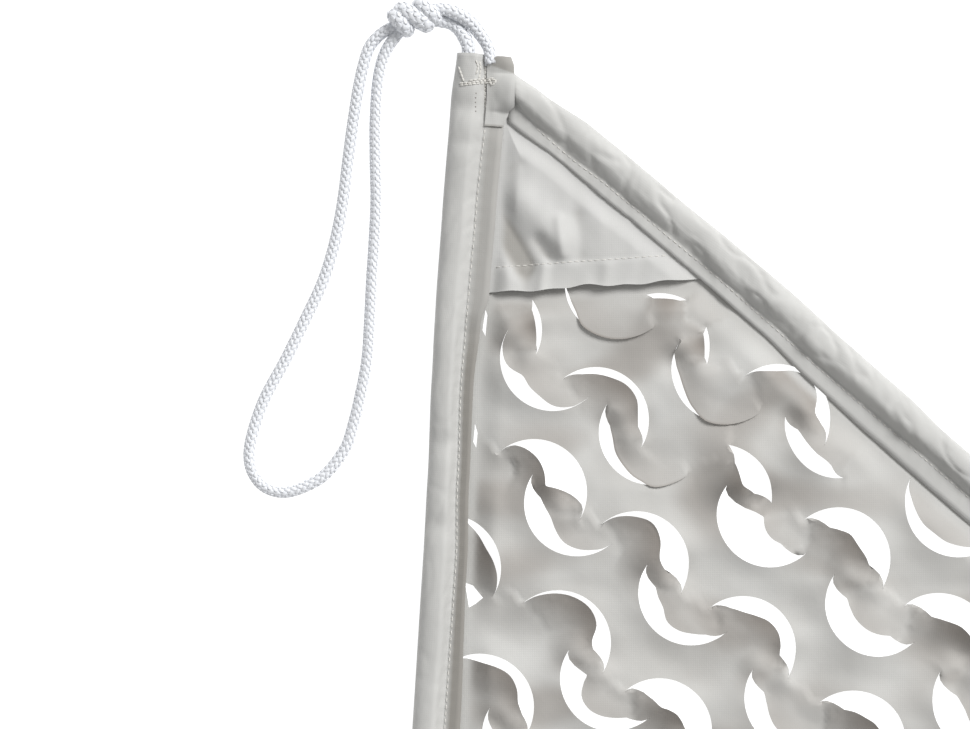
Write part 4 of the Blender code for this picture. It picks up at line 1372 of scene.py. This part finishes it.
    def raise_tongue(
        self, hole: Cut, points: np.ndarray, moved: np.ndarray, raised: np.ndarray, fold: np.ndarray
    ) -> None:
        """Raise one slit's tongue and the cloth's edge across from it, and paint shade on the tongue.

        Args:
            hole: The slit's opening.
            points: The flat net's points.
            moved: The points as they are drawn, changed here for a tongue that laps over.
            raised: How far each point is raised, changed here.
            fold: How much painted shade each point gets, changed here.
        """
        slit = hole.slit
        close = np.flatnonzero(np.hypot(*(points - slit.centre).T) < LEAF_RADIUS + 14.0)
        if len(close) == 0:
            return
        here = points[close]
        away = here - slit.centre
        radius = np.hypot(*away.T)
        angle = np.degrees(np.arctan2(away[:, 1], away[:, 0]))
        turned = (angle - slit.start) % 360.0 if slit.turn > 0 else (slit.start - angle) % 360.0
        share = turned / abs(slit.turn)
        in_window = (share > hole.low) & (share < hole.high)
        way = (share - hole.low) / (hole.high - hole.low)
        outside = in_window & (radius > LEAF_RADIUS - 0.5 * slit.width_at(share))
        gaps = np.hypot(here[:, 0][:, None] - hole.inner[:, 0], here[:, 1][:, None] - hole.inner[:, 1])
        nearest, behind = gaps.argmin(1), gaps.min(1)
        crest = np.sin(np.pi * (nearest + 1) / (len(hole.inner) + 1)) ** 0.6
        opening = max(slit.gape)
        if slit.upper:
            lift, reach, shade = min(8.6, 2.6 + 0.5 * opening), self.upper_reach, self.upper_shade
        elif slit.laps:
            lift, reach, shade = self.lap_lift, self.lower_reach, self.lower_shade
        else:
            lift, reach, shade = min(4.8, 1.6 + 0.17 * opening), self.lower_reach, self.lower_shade
        rise = lift * crest * np.clip(1.0 - behind / reach, 0.0, 1.0) ** 1.5
        raised[close] = np.where(outside, raised[close], np.maximum(raised[close], rise))
        beyond = np.clip(1.0 - (radius - LEAF_RADIUS) / 12.0, 0.0, 1.0) ** 2
        across = np.where(outside, np.sin(np.pi * np.clip(way, 0.0, 1.0)) * beyond, 0.0)
        raised[close] += across * (-0.5 if slit.laps else (1.2 if slit.upper else 1.8))
        # Painted shade over the tongue, strongest near its edge, and a thin painted dark line along the edge
        # itself.
        dark = np.where(outside, 0.0, crest * shade * np.clip(1.15 - behind / 21.0, 0.0, 1.0))
        fold[close] = np.maximum(fold[close], dark)
        rim = np.where(outside, 0.0, crest * np.clip(1.0 - behind / 1.1, 0.0, 1.0))
        fold[close] = np.maximum(fold[close], rim * (0.8 if slit.upper or slit.laps else 0.25))
        if slit.laps:
            shut = soft_step((1.6 - slit.width_at(share)) / 1.4) * in_window * ~outside
            near = np.clip(1.0 - behind / 9.0, 0.0, 1.0)
            moved[close] += away / np.maximum(radius, 1e-6)[:, None] * (1.5 * shut * near)[:, None]
            raised[close] += 1.2 * shut * near

    def necks(self, cuts: list[Cut]) -> list[tuple[np.ndarray, np.ndarray]]:
        """Middle and run of each narrow neck between the two slits of a pair."""
        slits = [hole.slit for hole in cuts if hole.slit]
        uppers = {(slit.row, slit.column): slit for slit in slits if slit.upper}
        found = []
        for slit in slits:
            pair = uppers.get((slit.row, slit.column))
            if slit.upper or pair is None:
                continue
            end, start = pair.arc(np.array([0.9]))[0], slit.arc(np.array([0.1]))[0]
            way = end - start
            found.append(((end + start) * 0.5, way / np.linalg.norm(way)))
        return found

    def build(self) -> bpy.types.Object:
        outline = self.outline()
        cuts = [Cut(np.array(corners)) for corners in SLIVERS]
        for slit in self.slits():
            made = self.opened(slit, outline)
            if made and not any(self.crosses(made, other) for other in cuts):
                cuts.append(made)
        points = [outline, *(hole.chain for hole in cuts), self.fill(outline, cuts)]
        edges, first = [], 0
        for chain in points[:-1]:
            edges += [(first + n, first + (n + 1) % len(chain)) for n in range(len(chain))]
            first += len(chain)
        flat_in = [Vector(point) for point in np.vstack(points)]
        flat, _, faces, _, _, _ = geometry.delaunay_2d_cdt(flat_in, edges, [], 0, 1e-4)
        flat = np.array([tuple(point) for point in flat])
        faces = np.array([face for face in faces if len(face) == 3])
        middles = flat[faces].mean(1)
        keep = is_inside(middles, outline)
        for hole in cuts:
            close = np.flatnonzero(np.hypot(*(middles - hole.centre).T) < LEAF_RADIUS + 2.0)
            keep[close] &= ~is_inside(middles[close], hole.chain)
        faces = faces[keep]
        used, number = np.unique(faces, return_inverse=True)
        shaped, fold = self.shape(flat[used], cuts)
        piece = new_cloth("net_sheet", shaped, number.reshape(-1, 3), self.thickness)
        set_values(piece, "fold", np.tile(fold, 2))
        piece.data.materials.append(self.cloth)
        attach(piece, "root")
        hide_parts("net")
        LOG.info("net has %d cuts and %d faces", len(cuts), len(piece.data.polygons))
        return piece

    def crosses(self, new: Cut, old: Cut) -> bool:
        """Whether an opening runs into one that is already cut."""
        if np.hypot(*(new.centre - old.centre)) > 4.0 * LEAF_RADIUS:
            return False
        away = new.chain[:, None] - old.chain
        gaps = np.hypot(away[..., 0], away[..., 1])
        return bool(gaps.min() < self.strip * 0.6 or is_inside(new.chain, old.chain).any())


@dataclass
class CornerPatch:
    """A plain cloth over the net's corner, hemmed at its lower edge and pleated by the pull of the rope."""

    corner: Corner
    cloth: bpy.types.Material
    marks: RepeatedMarks
    thread: bpy.types.Material
    rows: int = 74
    columns: int = 84
    hem: float = 14.0
    thickness: float = 0.6
    # Ridges and hollows beside the top corner: two ends of the crest, its height and its half width.
    pleats: tuple[Row, ...] = (
        (33.0, -74.0, 50.0, -94.0, 3.6, 8.5),
        (20.0, -84.0, 33.5, -106.5, -3.6, 6.5),
        (17.0, -99.0, 21.0, -112.0, 1.3, 7.0),
        (51.0, -84.0, 52.5, -100.0, 1.9, 3.0),
        (40.5, -94.0, 46.0, -101.0, -2.4, 3.8),
        (60.5, -82.0, 61.5, -101.0, -1.1, 4.2),
        (71.0, -86.0, 73.0, -100.0, 0.7, 8.0),
        (43.5, -106.0, 42.0, -119.0, 1.5, 2.8),
        (34.5, -106.0, 34.0, -118.0, -0.7, 3.0),
        (74.5, -107.0, 73.0, -116.0, 0.9, 3.4),
        (20.0, -62.0, 31.0, -55.0, -0.9, 3.0),
    )

    def relief(self, points: np.ndarray) -> np.ndarray:
        """Height of the pleats at points."""
        here = self.corner.unplace(points)
        total = np.zeros(len(here))
        for x0, y0, x1, y1, height, half in self.pleats:
            way = np.array([x1 - x0, y1 - y0])
            share = np.clip((here - np.array([x0, y0])) @ way / (way @ way), 0.0, 1.0)
            away = np.hypot(*(here - np.array([x0, y0]) - share[:, None] * way).T)
            total += height * np.exp(-((away / half) ** 2))
        return total + 0.5 * ripple(here, (16.0, 20.0), 2.0) + 0.35 * ripple(here, (7.0, 15.0), 6.0)

    def build(self) -> bpy.types.Object:
        opened, shut = self.corner.open_hem, self.corner.shut_hem
        first, second = patch_line(self.corner)
        left_line = opened.point(np.array([20.0, PATCH_ALONG_OPEN]), opened.seam(60.0) + PATCH_UNDER)
        back = shut.length - np.array([PATCH_ALONG_SHUT, -40.0])
        right_line = shut.point(back, shut.seam(shut.length - 60.0) + PATCH_UNDER)
        tip = geometry.intersect_line_line_2d(*[Vector(p) for p in (left_line[0], left_line[1])], *[
            Vector(p) for p in right_line
        ])
        tip = np.array(tip) if tip else opened.point(26.0, opened.seam(26.0) + 4.0)
        across = (second - first) / np.linalg.norm(second - first)
        upward = np.array([-across[1], across[0]])
        depth = float((tip - first) @ upward)
        rises = depth * np.linspace(0.0, 0.96, self.rows) ** 1.15
        shares = np.linspace(0.0, 1.0, self.columns)
        grid = []
        for rise in rises:
            near_left, _ = opened.place_of(first + (tip - first) * rise / depth)
            near_right, _ = shut.place_of(second + (tip - second) * rise / depth)
            left = opened.point(near_left, opened.seam(near_left) + PATCH_UNDER)
            right = shut.point(near_right, shut.seam(near_right) + PATCH_UNDER)
            row = left + (right - left) * shares[:, None]
            wave = 1.0 * np.sin(shares * 17.0) + 0.7 * np.sin(shares * 41.0 + 1.0)
            sway = 1.2 + 0.7 * wave * np.sin(np.pi * shares)
            grid.append(row + upward * sway[:, None] * math.exp(-rise / 6.0))
        flat = np.vstack(grid)
        rise_of = np.repeat(rises, self.columns)
        clear = np.clip(flange_clearance(flat) - 1.5, 0.0, None)
        lift = np.maximum(2.4 + self.relief(flat), 0.0) * soft_step(clear / 9.0)
        lift += 0.55 * soft_step((self.hem - rise_of) / 0.9) * soft_step(clear / 3.0)
        stitched = np.exp(-(((rise_of - self.hem + 0.8) / 1.1) ** 2)) * soft_step(clear / 4.0)
        lift -= 0.3 * stitched
        curl = 0.6 + 0.5 * ripple(flat, (13.0, 13.0), 1.0)
        lift += np.exp(-rise_of / 2.5) * soft_step(clear / 5.0) * curl
        height = FLANGE_LOW + 0.55 + lift
        under = np.concatenate([flat, height[:, None]], axis=1)
        faces = np.array(grid_faces(self.rows, self.columns))
        piece = new_cloth("patch_" + self.corner.name + "_sheet", under, faces, self.thickness)
        # Painted shade in the hollows of the pleats.
        hollow = 0.75 * soft_step(-self.relief(flat) / 2.6) * soft_step(clear / 6.0)
        set_values(piece, "fold", np.tile(hollow, 2))
        piece.data.materials.append(self.cloth)
        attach(piece, "root")
        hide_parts("patch_" + self.corner.name)
        row = int(np.searchsorted(rises, self.hem - 0.8))
        line = under[row * self.columns : (row + 1) * self.columns]
        line = line[flange_clearance(line[:, :2]) > 1.0][::3]
        SewnLine("patch_stitches_" + self.corner.name, [line], self.marks, self.thread, on=[piece]).build()
        return piece


@dataclass
class EndTab:
    """The end of the shut hem, folded flat over its own tube and sewn down on the open hem's flange."""

    corner: Corner
    cloth: bpy.types.Material
    marks: RepeatedMarks
    thread: bpy.types.Material
    hollow: bpy.types.Material
    start: float = 1.6
    end: float = 35.4
    rows: int = 60
    columns: int = 34
    thickness: float = 0.8
    # Its right edge: distance along the open hem and distance across.
    right_edge: tuple[Row, ...] = ((0, 26.8), (6, 29.0), (14, 30.0), (25, 30.4), (28, 27.8), (36, 25.2))
    # Lines of the bar tack and the rows beside it, from beside the top corner.
    tacks: tuple[tuple[tuple[float, float], ...], ...] = (
        ((1.2, -15.6), (7.0, -15.3), (13.0, -14.2), (19.2, -13.6)),
        ((1.4, -16.7), (8.0, -16.0), (14.0, -15.1), (19.6, -14.8)),
        ((6.0, -14.4), (12.0, -13.4), (18.2, -12.8)),
        ((0.9, -7.2), (2.1, -11.0), (3.4, -14.6)),
        ((14.3, -2.6), (14.1, -12.0), (14.0, -20.0), (14.4, -27.5)),
        ((9.4, -4.2), (10.6, -7.5), (9.6, -10.8)),
        ((11.4, -4.6), (11.8, -9.0), (10.9, -13.0)),
        ((15.8, -12.6), (17.6, -16.6), (19.6, -13.8)),
    )
    holes: tuple[tuple[float, float], ...] = ((9.6, -19.4), (9.2, -24.5), (9.4, -30.5))

    def build(self) -> bpy.types.Object:
        hem = self.corner.open_hem
        share = np.tile(np.linspace(0.0, 1.0, self.columns), self.rows)
        step = np.repeat(np.linspace(0.0, 1.0, self.rows), self.columns)
        along = self.start + (self.end - self.start) * step
        outer = hem.seam(along) + 0.6
        across = outer + (read_rows(self.right_edge, along, 1) - outer) * share
        along = along + 1.6 * (share - 0.55) ** 2 * (1.0 - step) - 1.6 * share * (1.0 - step) ** 4
        tube = TUBE_HEIGHT * np.sqrt(np.clip(1.0 - ((along - 18.5) / 10.5) ** 2, 0.0, 1.0)) + 0.4
        base = FLANGE_HIGH + CLOTH + 0.35
        hood = soft_step(1.0 - step / 0.3) * np.sin(np.pi * np.clip(share, 0.0, 1.0)) ** 0.8
        height = base + soft_step((across - 14.0) / 14.5) * np.maximum(tube - base, 0.0) + 3.0 * hood
        flat = hem.point(along, across)
        height += 0.4 * ripple(self.corner.unplace(flat), (5.0, 7.0), 3.0) * soft_step((share - 0.1) * 4)
        under = np.concatenate([flat, height[:, None]], axis=1)
        faces = np.array(grid_faces(self.rows, self.columns))
        piece = new_cloth("tab_" + self.corner.name + "_sheet", under, faces, self.thickness)
        set_strip_map(piece, np.tile(np.stack([along, across], axis=1), (2, 1)))
        # Painted shade under the curled top edge of the tab, and a painted dark line along its lower edge.
        inside = soft_step((8.6 - along - 0.28 * (28.0 - across)) / 0.8) * soft_step((across - 17.0) / 1.5)
        lower = soft_step((along - self.end + 1.1) / 0.6)
        set_values(piece, "fold", np.tile(np.maximum(0.75 * inside, 0.6 * lower), 2))
        piece.data.materials.append(self.cloth)
        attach(piece, "root")
        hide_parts("tab_" + self.corner.name)
        return piece

    def lay(self, line: tuple[tuple[float, float], ...]) -> np.ndarray:
        """A line of the tables, carried to this corner."""
        flat = self.corner.place(np.array(line))
        return np.concatenate([flat, np.full((len(flat), 1), TUBE_HEIGHT)], axis=1)

    def sew(self, on: list[bpy.types.Object]) -> None:
        """The bar tack across the corner, the short rows beside it, and dark marks painted as the shade in
        the empty needle holes.
        """
        lines = [self.lay(line) for line in self.tacks]
        name = "bar_tack_" + self.corner.name
        SewnLine(name, lines, self.marks, self.thread, 2.1, (2.6, 1.05, 0.9), on, 0.25).build()
        # The needle holes are small dark marks: painted shade inside the holes.
        name, holes = "needle_holes_" + self.corner.name, [self.lay(self.holes)]
        SewnLine(name, holes, self.marks, self.hollow, 2.2, (0.8, 0.8, 0.3), on, 0.03).build()


@dataclass
class Studio:
    """A plain pale floor, soft daylight from the upper right and a camera straight above the corner."""

    centre: tuple[float, float] = (-0.32925, 0.32325)
    frame_width: float = 0.485
    lens: float = 100.0
    sensor: float = 36.0
    floor_reach: float = 14.0
    floor_depth: float = 0.0003
    floor_glow: float = 0.86
    sky: float = 0.41
    sun: float = 2.95
    sun_width: float = 24.0
    sun_from: tuple[float, float, float] = (0.58, 0.54, 0.70)

    def place_camera(self) -> None:
        """Set the camera above the part of the sail that is shown."""
        data = bpy.data.cameras.new("camera")
        data.lens = self.lens
        data.sensor_width = self.sensor
        data.clip_start, data.clip_end = 0.05, 20.0
        camera = bpy.data.objects.new("camera", data)
        camera.location = (*self.centre, self.frame_width * self.lens / self.sensor + 0.004)
        bpy.context.scene.collection.objects.link(camera)
        bpy.context.scene.camera = camera

    def place_floor(self) -> None:
        """Lay a pale floor that glows faintly, so that no shadow on it is deep."""
        mesh = bpy.data.meshes.new("studio_floor")
        corners = ((-1, -1), (1, -1), (1, 1), (-1, 1))
        points = [(x * self.floor_reach, y * self.floor_reach, -self.floor_depth) for x, y in corners]
        mesh.from_pydata(points, [], [(0, 1, 2, 3)])
        floor = bpy.data.objects.new("studio_floor", mesh)
        bpy.context.scene.collection.objects.link(floor)
        material, tree, shader = new_material("floor_painted_matt_white")
        place = add_node(tree, "ShaderNodeTexCoord").outputs["Object"]
        grain = add_node(tree, "ShaderNodeTexNoise", {"Vector": place, "Scale": 3.0}).outputs[0]
        colour = add_node(
            tree, "ShaderNodeMix", {0: grain, 6: linear("#B4B4B6"), 7: linear("#B8B8B9")}, data_type="RGBA"
        ).outputs[2]
        tree.links.new(colour, shader.inputs["Base Color"])
        shader.inputs["Roughness"].default_value = 0.9
        shader.inputs["Emission Color"].default_value = (1.0, 1.0, 1.0, 1.0)
        shader.inputs["Emission Strength"].default_value = self.floor_glow
        mesh.materials.append(material)

    def light(self) -> None:
        """One soft lamp high at the upper right, and an even sky."""
        bpy.context.scene.view_settings.view_transform = "Standard"
        world = bpy.data.worlds.new("sky")
        world.use_nodes = True
        back = world.node_tree.nodes["Background"]
        back.inputs["Color"].default_value = (1.0, 0.995, 0.985, 1.0)
        back.inputs["Strength"].default_value = self.sky
        bpy.context.scene.world = world
        data = bpy.data.lights.new("key", "SUN")
        data.energy = self.sun
        data.angle = math.radians(self.sun_width)
        data.color = (1.0, 0.995, 0.985)
        lamp = bpy.data.objects.new("key", data)
        lamp.rotation_euler = Vector(self.sun_from).to_track_quat("Z", "Y").to_euler()
        bpy.context.scene.collection.objects.link(lamp)


def main() -> None:
    """Build the sail's pieces in order."""
    logging.basicConfig(level=logging.INFO, format="%(message)s")
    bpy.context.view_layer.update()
    studio = Studio()
    studio.place_camera()
    studio.place_floor()
    studio.light()

    net_cloth = CoatedCloth("oxford_net_coated", "#C9C9C7", "#C1C0BD", "#8A827B", Pattern.PLACE).build()
    hem_cloth = CoatedCloth("oxford_hem_coated", "#C6C6C4", "#BFBFBD", "#97948F", Pattern.STRIP).build()
    patch_cloth = CoatedCloth("oxford_patch_coated", "#CACAC9", "#C5C5C3", "#98958F", Pattern.PLACE).build()
    yarn = BraidedYarn("polypropylene_braided", "#F2F4F8", "#D9DCE2").build()
    thread = BraidedYarn("polyester_thread_spun", "#E0DEDA", "#CFCDC8", fibre=0.4).build()
    # A dark thread finish used as painted shade in the needle holes.
    hollow = BraidedYarn("needle_hole_painted_shade", "#8A8580", "#7A7570", fibre=0.4).build()

    yarn_marks = RepeatedMarks("yarn_crowns", sides=6, rings=4)
    stitch_marks = RepeatedMarks("lock_stitches", sides=6, rings=4)

    for corner in CORNERS:
        CornerRope(corner, yarn_marks, yarn).build()
    NetSheet(net_cloth).build()
    strips = {}
    for layout in HEMS:
        strip = HemStrip(layout, hem_cloth)
        strips[layout] = strip.build()
        name = layout.name + "_stitches"
        SewnLine(name, strip.stitch_lines(), stitch_marks, thread, on=[strips[layout]]).build()
    for corner in CORNERS:
        CornerPatch(corner, patch_cloth, stitch_marks, thread).build()
        tab = EndTab(corner, hem_cloth, stitch_marks, thread, hollow)
        tab.sew([tab.build(), strips[corner.open_hem]])


if __name__ == "__main__":
    main()
